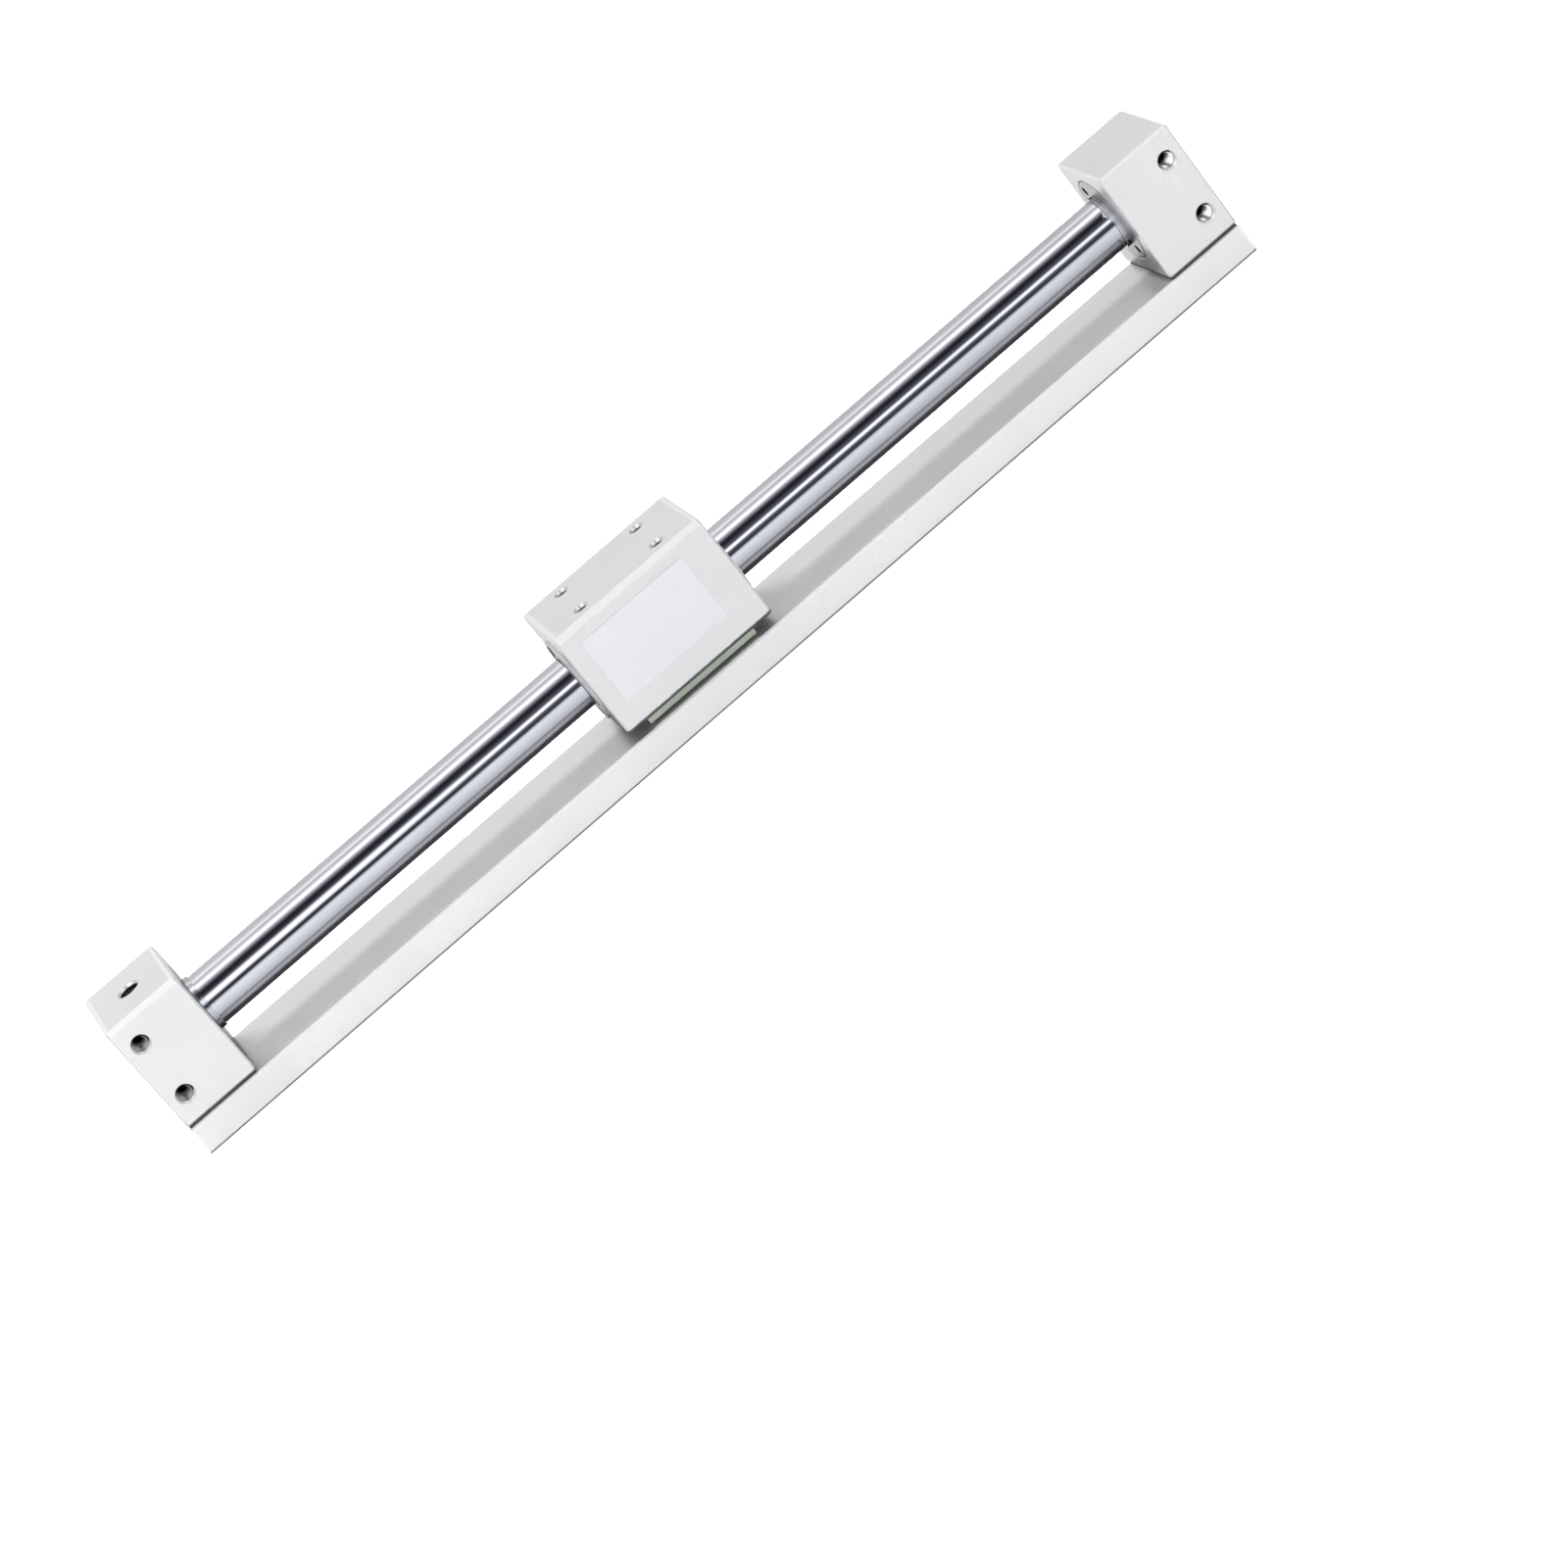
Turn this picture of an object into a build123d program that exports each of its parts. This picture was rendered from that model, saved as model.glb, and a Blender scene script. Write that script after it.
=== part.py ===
"""Rodless air cylinder with a magnetically coupled slider, tube bore 10 mm, stroke 200 mm.

Two end plates carry a steel tube above a flat rail. A piston runs inside the tube, and a
slider runs outside it. Ring magnets in both pull across the tube wall, so the slider
follows the piston. X runs along the tube, Y to the back and Z up. The origin is under the
middle of the rail, on its underside. The slider stands a little left of mid stroke.
"""

from build123d import *
import os

os.makedirs("parts", exist_ok=True)

# Stroke and resting place, in millimetres
stroke = 200.0
rest_offset = -3.0
end_clearance = 3.0

# Tube
tube_od = 12.0
tube_wall = 1.0

# Clearances: round seats, sliding surfaces, screws in their threads
seat_clearance = 0.03
running_clearance = 0.03
thread_clearance = 0.05
stop_gap = 0.1

# Magnet stacks: the same pitch inside the tube and in the slider
magnet_count = 4
magnet_thickness = 2.5
yoke_thickness = 2.0

# Slider block: walls around its bore
slider_length = 38.0
slider_bore = 19.1
slider_side_wall = 3.45
slider_floor = 2.15
slider_roof = 4.45
slider_top_chamfer = 1.0
slider_edge_chamfer = 0.4
slider_low_chamfer = 0.8

# Slider bore, from each mouth inwards
scraper_seat_depth = 2.0
scraper_step = 0.5
scraper_proud = 0.55
scraper_rim = 0.7
scraper_dish = 0.4
mouth_chamfer = 0.25
groove_land = 0.8
retaining_ring_thickness = 1.0
retaining_groove_width = 1.1
retaining_groove_depth = 0.6
retaining_ring_width = 1.3
lug_radius = 1.5
lug_hole = 1.1
lug_spread = 16.0
lube_retainer_length = 1.4
spacer_thickness = 0.8
outer_magnet_gap = 0.4
outer_yoke_gap = 0.3

# Slider top threads, M3
top_hole_pitch_x = 20.0
top_hole_pitch_y = 15.0
top_tap_diameter = 2.5
top_sink_diameter = 3.5
top_hole_depth = 4.5

# Shielding plate under the slider, with the switch magnet in it
shield_length = 28.2
shield_width = 21.0
shield_thickness = 1.85
shield_gap = 0.6
shield_screw_x = 11.0
shield_screw_y = 7.5
shield_screw_diameter = 2.0
shield_screw_head = 3.8
shield_screw_length = 4.0
switch_magnet_length = 8.0
switch_magnet_width = 4.0
switch_magnet_thickness = 1.0

# Rail with its switch groove on the underside
rail_thickness = 6.85
rail_chamfer = 0.4
switch_slot_mouth = 2.8
switch_slot_lip = 1.0
switch_slot_width = 4.0
switch_slot_height = 2.6

# Gasket sheet between each end plate and the rail
gasket_thickness = 0.55
gasket_inset = 0.35

# Screws that hold the rail, M3 with a socket head, from below
rail_screw_pitch = 15.0
rail_screw_diameter = 3.0
rail_screw_length = 8.0
rail_screw_hole = 3.4
rail_head_diameter = 5.5
rail_head_height = 3.0
rail_head_recess = 0.3
rail_head_bore = 6.2
rail_socket_width = 2.5
rail_socket_depth = 1.5
rail_tap_spare = 1.5

# End plates
plate_back = 11.4
plate_cheek = 2.25
plate_roof = 2.35
plate_chamfer = 0.45
left_roof_chamfer = 0.85
tube_seat_depth = 6.5
air_hole_diameter = 3.0
air_hole_end = 6.0

# Lock ring that holds the tube in each plate
lock_ring_width = 4.2
lock_ring_thickness = 2.5
lock_ring_proud = 0.1
lock_ring_chamfer = 0.2
ring_seat_clearance = 0.05
ring_seat_chamfer = 0.15
spanner_hole_diameter = 2.2
spanner_hole_depth = 1.4
spanner_hole_angle = 60.0

# Tube gasket and the spring ring on the tube
gasket_cord = 1.5
gland_length = 2.0
cord_clearance = 0.02
snap_ring_width = 1.2
snap_ring_section = 0.7
snap_groove_depth = 0.3
snap_groove_spare = 0.05
snap_ring_gap = 3.0

# Mounting threads on the front of the plates, M4
mount_inset = 4.15
mount_pitch = 14.0
mount_drop = 0.6
mount_tap_diameter = 3.3
mount_sink_diameter = 4.3
mount_hole_depth = 6.5

# Air ports, M5
port_tap_diameter = 4.2
port_sink_diameter = 5.3
port_drill_depth = 6.5
port_passage = 2.5

# Piston, inside the tube
shaft_diameter = 3.0
shaft_spare = 3.0
shaft_chamfer = 0.3
inner_magnet_gap = 0.6
inner_yoke_gap = 0.3
piston_length = 9.5
piston_gap = 0.15
piston_chamfer = 0.4
seal_groove_inset = 1.8
seal_width = 1.6
seal_depth = 1.15
seal_notch = 0.45
wear_groove_inset = 5.2
wear_width = 2.4
wear_depth = 0.45
wear_split = 0.6
groove_clearance = 0.03
nut_clearance = 0.175
nut_thickness = 2.0
bumper_length = 4.0
bumper_wall = 1.1

# Worked out from the sizes above
tube_radius = tube_od / 2
bore_radius = tube_radius - tube_wall
slider_gap = shield_thickness + shield_gap
slider_bottom = rail_thickness + slider_gap
axis_height = slider_bottom + slider_floor + slider_bore / 2
slider_top = axis_height + slider_bore / 2 + slider_roof
slider_width = slider_bore + 2 * slider_side_wall
inner_gap = stroke + slider_length + 2 * end_clearance
half_gap = inner_gap / 2
lock_ring_radius = tube_radius + lock_ring_width
ring_seat_radius = lock_ring_radius + ring_seat_clearance
plate_length = tube_seat_depth + plate_back
plate_depth = 2 * (ring_seat_radius + plate_cheek)
plate_bottom = rail_thickness + gasket_thickness
plate_top = axis_height + ring_seat_radius + plate_roof
overall_length = inner_gap + 2 * plate_length
outer_face = overall_length / 2
plate_middle = half_gap + plate_length / 2
stack_half = (magnet_count * magnet_thickness + (magnet_count + 1) * yoke_thickness) / 2
piston_end = stack_half + piston_length
piston_reach = piston_end + bumper_length

SIDES = {"left": -1, "right": 1}


def across(x, facing=1):
    """Plane across the tube at station x, centred on its axis; facing is +1 or -1 along X."""
    return Plane(origin=(x, 0, axis_height), x_dir=(0, facing, 0), z_dir=(facing, 0, 0))


def looking_up(x, y, z):
    """Plane on an underside, for holes that are cut upwards."""
    return Plane(origin=(x, y, z), x_dir=(1, 0, 0), z_dir=(0, 0, -1))


def ring(name, x, length, outer_radius, inner_radius):
    """Make and write a plain ring around the tube axis, from station x on."""
    with BuildPart() as plain_ring:
        with BuildSketch(across(x)):
            Circle(outer_radius)
            Circle(inner_radius, mode=Mode.SUBTRACT)
        extrude(amount=length)
    plain_ring.part.label = name
    export_step(plain_ring.part, f"parts/{name}.step")


# Cylinder tube, with a groove for the spring ring beside each end plate
snap_ring_outer = half_gap - lock_ring_proud - snap_groove_spare
snap_groove_width = snap_ring_width + 2 * snap_groove_spare
tube_half = half_gap + tube_seat_depth - seat_clearance

with BuildPart() as cylinder_tube:
    with BuildSketch(across(-tube_half)):
        Circle(tube_radius)
        Circle(bore_radius, mode=Mode.SUBTRACT)
    extrude(amount=2 * tube_half)
    for side in SIDES.values():
        with BuildSketch(across(side * (half_gap - lock_ring_proud), -side)):
            Circle(tube_radius + tube_wall)
            Circle(tube_radius - snap_groove_depth, mode=Mode.SUBTRACT)
        extrude(amount=snap_groove_width, mode=Mode.SUBTRACT)
cylinder_tube.part.label = "cylinder_tube"
export_step(cylinder_tube.part, "parts/cylinder_tube.step")

# Switch rail: flat bar, groove for the switches below, counterbores for the screws
with BuildPart() as switch_rail:
    with BuildSketch(Plane.YZ.offset(-outer_face)):
        with Locations((0, rail_thickness / 2)):
            Rectangle(plate_depth, rail_thickness)
        with Locations((0, 0)):
            Rectangle(switch_slot_mouth, 2 * switch_slot_lip, mode=Mode.SUBTRACT)
        with Locations((0, switch_slot_lip + switch_slot_height / 2)):
            Rectangle(switch_slot_width, switch_slot_height, mode=Mode.SUBTRACT)
    extrude(amount=overall_length)
    long_edges = switch_rail.edges().filter_by(Axis.X)
    outer_long_edges = long_edges.group_by(Axis.Y)[0] + long_edges.group_by(Axis.Y)[-1]
    chamfer(outer_long_edges, length=rail_chamfer)
    top_ends = switch_rail.edges().filter_by(Axis.Y).group_by(Axis.Z)[-1]
    chamfer(top_ends, length=rail_chamfer)
    for side in SIDES.values():
        with Locations(looking_up(side * plate_middle, 0, 0)):
            with GridLocations(plate_length, rail_screw_pitch, 1, 2):
                CounterBoreHole(
                    rail_screw_hole / 2,
                    rail_head_bore / 2,
                    rail_head_recess + rail_head_height,
                )
switch_rail.part.label = "switch_rail"
export_step(switch_rail.part, "parts/switch_rail.step")

# The four screws that hold the rail to the end plates
screw_points = [
    (side * plate_middle, row * rail_screw_pitch / 2) for side in (-1, 1) for row in (-1, 1)
]
screw_head_top = rail_head_recess + rail_head_height

with BuildPart() as rail_screws:
    with BuildSketch(Plane.XY.offset(rail_head_recess)):
        with Locations(*screw_points):
            Circle(rail_head_diameter / 2)
    extrude(amount=rail_head_height)
    with BuildSketch(Plane.XY.offset(screw_head_top)):
        with Locations(*screw_points):
            Circle(rail_screw_diameter / 2)
    extrude(amount=rail_screw_length)
    with BuildSketch(Plane.XY.offset(rail_head_recess)):
        with Locations(*screw_points):
            RegularPolygon(rail_socket_width / 2, 6, major_radius=False)
    extrude(amount=rail_socket_depth, mode=Mode.SUBTRACT)
rail_screws.part.label = "rail_screws"
export_step(rail_screws.part, "parts/rail_screws.step")

# End plates: stepped pocket for the tube, lock ring and gasket, spigot inside the tube,
# mounting threads on the front, rail threads below and one air port each
spigot_length = tube_seat_depth - (stroke / 2 + piston_reach + stop_gap - half_gap)
rail_tap_depth = screw_head_top + rail_screw_length - plate_bottom + rail_tap_spare
pocket_steps = (
    (ring_seat_radius, lock_ring_thickness - lock_ring_proud),
    (tube_radius + gasket_cord, lock_ring_thickness - lock_ring_proud + gland_length),
    (tube_radius + seat_clearance, tube_seat_depth),
)

for side_name, side in SIDES.items():
    with BuildPart() as end_plate:
        with BuildSketch(Plane.XY.offset(plate_bottom)):
            with Locations((side * plate_middle, 0)):
                Rectangle(plate_length, plate_depth)
        extrude(amount=plate_top - plate_bottom)
        roof_edges = end_plate.edges().filter_by(Axis.X).group_by(Axis.Z)[-1]
        chamfer(roof_edges, length=left_roof_chamfer if side_name == "left" else plate_chamfer)
        end_faces = end_plate.faces().filter_by(Axis.X)
        low_edges = end_plate.edges().filter_by(Axis.X).group_by(Axis.Z)[0]
        chamfer(end_faces.edges() + low_edges, length=plate_chamfer)
        for step_radius, step_depth in pocket_steps:
            with BuildSketch(across(side * half_gap, side)):
                Circle(step_radius)
            extrude(amount=step_depth, mode=Mode.SUBTRACT)
        ring_seat_rim = end_plate.edges().filter_by(GeomType.CIRCLE).sort_by(Axis.X)[0 if side > 0 else -1]
        chamfer(ring_seat_rim, length=ring_seat_chamfer)
        with BuildSketch(across(side * (half_gap + tube_seat_depth), -side)):
            Circle(bore_radius - seat_clearance)
        extrude(amount=spigot_length)
        with BuildSketch(across(side * (outer_face - air_hole_end), -side)):
            Circle(air_hole_diameter / 2)
        extrude(amount=plate_length, mode=Mode.SUBTRACT)
        front = Plane(
            origin=(side * (outer_face - mount_inset), -plate_depth / 2, axis_height - mount_drop),
            x_dir=(1, 0, 0),
            z_dir=(0, -1, 0),
        )
        with Locations(front):
            with GridLocations(plate_length, mount_pitch, 1, 2):
                CounterSinkHole(mount_tap_diameter / 2, mount_sink_diameter / 2, mount_hole_depth)
        with Locations(looking_up(side * plate_middle, 0, plate_bottom)):
            with GridLocations(plate_length, rail_screw_pitch, 1, 2):
                Hole(rail_screw_diameter / 2 + thread_clearance, rail_tap_depth)
        if side_name == "left":
            with Locations(Plane(origin=(side * plate_middle, 0, plate_top))):
                CounterSinkHole(port_tap_diameter / 2, port_sink_diameter / 2, port_drill_depth)
                Hole(port_passage / 2, plate_top - axis_height)
        else:
            with Locations(across(side * outer_face, side)):
                CounterSinkHole(port_tap_diameter / 2, port_sink_diameter / 2, air_hole_end)
    end_plate.part.label = f"end_plate_{side_name}"
    export_step(end_plate.part, f"parts/end_plate_{side_name}.step")

    # Gasket sheet under the plate, with holes for the two screws
    with BuildPart() as rail_gasket:
        with BuildSketch(Plane.XY.offset(rail_thickness)):
            with Locations((side * plate_middle, 0)):
                Rectangle(plate_length - 2 * gasket_inset, plate_depth - 2 * gasket_inset)
                with GridLocations(plate_length, rail_screw_pitch, 1, 2):
                    Circle(rail_screw_hole / 2, mode=Mode.SUBTRACT)
        extrude(amount=gasket_thickness)
    rail_gasket.part.label = f"rail_gasket_{side_name}"
    export_step(rail_gasket.part, f"parts/rail_gasket_{side_name}.step")

    # Lock ring around the tube, with two blind holes for a pin spanner
    lock_ring_inner_face = half_gap - lock_ring_proud
    with BuildPart() as lock_ring:
        with BuildSketch(across(side * lock_ring_inner_face, side)):
            Circle(lock_ring_radius)
            Circle(tube_radius + seat_clearance, mode=Mode.SUBTRACT)
        extrude(amount=lock_ring_thickness)
        rim = lock_ring.edges().filter_by(GeomType.CIRCLE).group_by(SortBy.RADIUS)[-1]
        chamfer(rim, length=lock_ring_chamfer)
        with BuildSketch(across(side * lock_ring_inner_face)):
            with PolarLocations(tube_radius + lock_ring_width / 2, 2, spanner_hole_angle):
                Circle(spanner_hole_diameter / 2)
        extrude(amount=side * spanner_hole_depth, mode=Mode.SUBTRACT)
    lock_ring.part.label = f"lock_ring_{side_name}"
    export_step(lock_ring.part, f"parts/lock_ring_{side_name}.step")

    # Rubber gasket in its gland behind the lock ring
    gland_middle = half_gap + lock_ring_thickness - lock_ring_proud + gland_length / 2
    with BuildPart() as tube_gasket:
        with BuildSketch(Plane.XZ):
            with Locations((side * gland_middle, axis_height + tube_radius + gasket_cord / 2)):
                RegularPolygon(
                    gasket_cord / 2 - cord_clearance, 8, major_radius=False, rotation=22.5
                )
        revolve(axis=Axis((0, 0, axis_height), (1, 0, 0)))
    tube_gasket.part.label = f"tube_gasket_{side_name}"
    export_step(tube_gasket.part, f"parts/tube_gasket_{side_name}.step")

    # Spring ring in the tube's groove, open at the bottom
    snap_ring_inside = tube_radius - snap_groove_depth + cord_clearance
    with BuildPart() as snap_ring:
        with BuildSketch(across(side * snap_ring_outer, -side)):
            Circle(snap_ring_inside + snap_ring_section)
            Circle(snap_ring_inside, mode=Mode.SUBTRACT)
            with Locations((0, -tube_radius)):
                Rectangle(snap_ring_gap, tube_radius, mode=Mode.SUBTRACT)
        extrude(amount=snap_ring_width)
    snap_ring.part.label = f"tube_snap_ring_{side_name}"
    export_step(snap_ring.part, f"parts/tube_snap_ring_{side_name}.step")

# Slider block with its stepped bore, top threads and the threads for the shielding plate
slider_end = slider_length / 2
mouth_radius = slider_bore / 2 + scraper_step
groove_start = scraper_seat_depth + groove_land
shield_screw_spots = ((-shield_screw_x, shield_screw_y), (shield_screw_x, -shield_screw_y))

with BuildPart() as slider_body:
    with BuildSketch(Plane.XY.offset(slider_bottom)):
        with Locations((rest_offset, 0)):
            Rectangle(slider_length, slider_width)
    extrude(amount=slider_top - slider_bottom)
    chamfer(slider_body.edges().filter_by(Axis.X).group_by(Axis.Z)[-1], length=slider_top_chamfer)
    chamfer(slider_body.edges().filter_by(Axis.X).group_by(Axis.Z)[0], length=slider_low_chamfer)
    chamfer(slider_body.faces().filter_by(Axis.X).edges(), length=slider_edge_chamfer)
    with BuildSketch(across(rest_offset - slider_end)):
        Circle(slider_bore / 2)
    extrude(amount=slider_length, mode=Mode.SUBTRACT)
    for side in SIDES.values():
        with BuildSketch(across(rest_offset + side * slider_end, -side)):
            Circle(mouth_radius)
        extrude(amount=scraper_seat_depth, mode=Mode.SUBTRACT)
        mouth = slider_body.edges().filter_by(GeomType.CIRCLE).sort_by(Axis.X)[-1 if side > 0 else 0]
        chamfer(mouth, length=mouth_chamfer)
        with BuildSketch(across(rest_offset + side * (slider_end - groove_start), -side)):
            Circle(slider_bore / 2 + retaining_groove_depth)
        extrude(amount=retaining_groove_width, mode=Mode.SUBTRACT)
    with Locations(Plane(origin=(rest_offset, 0, slider_top))):
        with GridLocations(top_hole_pitch_x, top_hole_pitch_y, 2, 2):
            CounterSinkHole(top_tap_diameter / 2, top_sink_diameter / 2, top_hole_depth)
    with Locations(looking_up(rest_offset, 0, slider_bottom)):
        with Locations(*shield_screw_spots):
            Hole(shield_screw_diameter / 2 + thread_clearance, shield_screw_length)
slider_body.part.label = "slider_body"
export_step(slider_body.part, "parts/slider_body.step")

# Rings that close the slider's bore at each end, from the magnet stack outwards
wear_ring_start = stack_half + spacer_thickness + lube_retainer_length
wear_ring_length = slider_end - groove_start - retaining_groove_width - wear_ring_start
seated_radius = slider_bore / 2 - seat_clearance
retaining_ring_radius = slider_bore / 2 + retaining_groove_depth - seat_clearance
lug_reach = retaining_ring_radius - lug_radius - seat_clearance



def start_of(side, near, length):
    """Lower X station of a ring that begins at near from the slider's middle."""
    return rest_offset + (near if side > 0 else -near - length)


for side_name, side in SIDES.items():
    ring(
        f"spacer_{side_name}",
        start_of(side, stack_half, spacer_thickness),
        spacer_thickness,
        seated_radius,
        tube_radius + outer_yoke_gap,
    )
    ring(
        f"lube_retainer_{side_name}",
        start_of(side, stack_half + spacer_thickness, lube_retainer_length),
        lube_retainer_length,
        seated_radius,
        tube_radius + running_clearance,
    )
    ring(
        f"slider_wear_ring_{side_name}",
        start_of(side, wear_ring_start, wear_ring_length),
        wear_ring_length,
        seated_radius,
        tube_radius + running_clearance,
    )

    # Retaining ring with two lugs and a gap, in the groove of the slider's bore
    ring_face = rest_offset + side * (slider_end - groove_start - retaining_groove_width)
    with BuildPart() as retaining_ring:
        with BuildSketch(across(ring_face, side)):
            Circle(retaining_ring_radius)
            Circle(retaining_ring_radius - retaining_ring_width, mode=Mode.SUBTRACT)
            with Locations((0, -retaining_ring_radius)):
                Rectangle(2 * lug_radius, retaining_ring_radius, mode=Mode.SUBTRACT)
            with PolarLocations(lug_reach, 2, -90 - lug_spread, 2 * lug_spread, endpoint=True):
                Circle(lug_radius)
                Circle(lug_hole / 2, mode=Mode.SUBTRACT)
        extrude(amount=retaining_ring_thickness)
    retaining_ring.part.label = f"slider_retaining_ring_{side_name}"
    export_step(retaining_ring.part, f"parts/slider_retaining_ring_{side_name}.step")

    # Scraper: a ring with a dished face that stands a little proud of the slider's end
    scraper_face = rest_offset + side * (slider_end + scraper_proud)
    scraper_radius = mouth_radius - seat_clearance
    scraper_lip = tube_radius + running_clearance + scraper_rim
    with BuildPart() as scraper:
        with BuildSketch(across(scraper_face, -side)):
            Circle(scraper_radius)
            Circle(tube_radius + running_clearance, mode=Mode.SUBTRACT)
        extrude(amount=scraper_proud + scraper_seat_depth)
        with BuildSketch(across(scraper_face, -side)):
            Circle(scraper_radius - scraper_rim)
            Circle(scraper_lip, mode=Mode.SUBTRACT)
        extrude(amount=scraper_dish, mode=Mode.SUBTRACT)
    scraper.part.label = f"scraper_{side_name}"
    export_step(scraper.part, f"parts/scraper_{side_name}.step")

# Magnets and yokes in turn, one stack in the slider and one on the piston's shaft
stack_pitch = magnet_thickness + yoke_thickness
shaft_fit = shaft_diameter / 2 + seat_clearance

for index in range(magnet_count + 1):
    yoke_x = rest_offset - stack_half + index * stack_pitch
    ring(
        f"outer_yoke_{index + 1}",
        yoke_x,
        yoke_thickness,
        seated_radius,
        tube_radius + outer_yoke_gap,
    )
    ring(f"inner_yoke_{index + 1}", yoke_x, yoke_thickness, bore_radius - inner_yoke_gap, shaft_fit)

for index in range(magnet_count):
    magnet_x = rest_offset - stack_half + yoke_thickness + index * stack_pitch
    ring(
        f"outer_magnet_{index + 1}",
        magnet_x,
        magnet_thickness,
        seated_radius,
        tube_radius + outer_magnet_gap,
    )
    ring(
        f"inner_magnet_{index + 1}",
        magnet_x,
        magnet_thickness,
        bore_radius - inner_magnet_gap,
        shaft_fit,
    )

# Shielding plate between slider and rail, two screws and the magnet for the switches
shield_bottom = slider_bottom - shield_thickness

with BuildPart() as shield_plate:
    with BuildSketch(Plane.XY.offset(shield_bottom)):
        with Locations((rest_offset, 0)):
            Rectangle(shield_length, shield_width)
    extrude(amount=shield_thickness)
    with BuildSketch(Plane.XY.offset(shield_bottom)):
        with Locations((rest_offset, 0)):
            Rectangle(
                switch_magnet_length + 2 * seat_clearance,
                switch_magnet_width + 2 * seat_clearance,
            )
    extrude(amount=switch_magnet_thickness, mode=Mode.SUBTRACT)
    with Locations(looking_up(rest_offset, 0, shield_bottom)):
        with Locations(*shield_screw_spots):
            CounterSinkHole(
                shield_screw_diameter / 2 + thread_clearance,
                shield_screw_head / 2 + thread_clearance,
            )
shield_plate.part.label = "shield_plate"
export_step(shield_plate.part, "parts/shield_plate.step")

with BuildPart() as switch_magnet:
    with BuildSketch(Plane.XY.offset(shield_bottom)):
        with Locations((rest_offset, 0)):
            Rectangle(switch_magnet_length, switch_magnet_width)
    extrude(amount=switch_magnet_thickness)
switch_magnet.part.label = "switch_magnet"
export_step(switch_magnet.part, "parts/switch_magnet.step")

shield_head_height = (shield_screw_head - shield_screw_diameter) / 2

with BuildPart() as shield_screws:
    with Locations(Plane(origin=(rest_offset, 0, shield_bottom))):
        for spot_x, spot_y in shield_screw_spots:
            with Locations((spot_x, -spot_y)):
                Cone(
                    shield_screw_head / 2,
                    shield_screw_diameter / 2,
                    shield_head_height,
                    align=(Align.CENTER, Align.CENTER, Align.MIN),
                )
                Cylinder(
                    shield_screw_diameter / 2,
                    shield_screw_length,
                    align=(Align.CENTER, Align.CENTER, Align.MIN),
                )
shield_screws.part.label = "shield_screws"
export_step(shield_screws.part, "parts/shield_screws.step")

# Piston shaft through both pistons, the stack and the nuts
shaft_half = piston_end + shaft_spare

with BuildPart() as piston_shaft:
    with BuildSketch(across(rest_offset - shaft_half)):
        Circle(shaft_diameter / 2)
    extrude(amount=2 * shaft_half)
    chamfer(piston_shaft.edges().filter_by(GeomType.CIRCLE), length=shaft_chamfer)
piston_shaft.part.label = "piston_shaft"
export_step(piston_shaft.part, "parts/piston_shaft.step")

# Pistons: turned bodies with grooves for the seal and the wear ring. The nuts' corners
# stay clear of the bumpers around them.
piston_radius = bore_radius - piston_gap
bumper_radius = piston_radius - piston_chamfer
nut_corner_radius = bumper_radius - bumper_wall - nut_clearance
seal_floor = piston_radius - seal_depth
wear_floor = piston_radius - wear_depth
piston_axis = Axis((0, 0, axis_height), (1, 0, 0))


def turned(side, *points):
    """Points of a turned half section, from (distance from the slider's middle, radius)."""
    return [(rest_offset + side * along, axis_height + radius) for along, radius in points]


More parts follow.
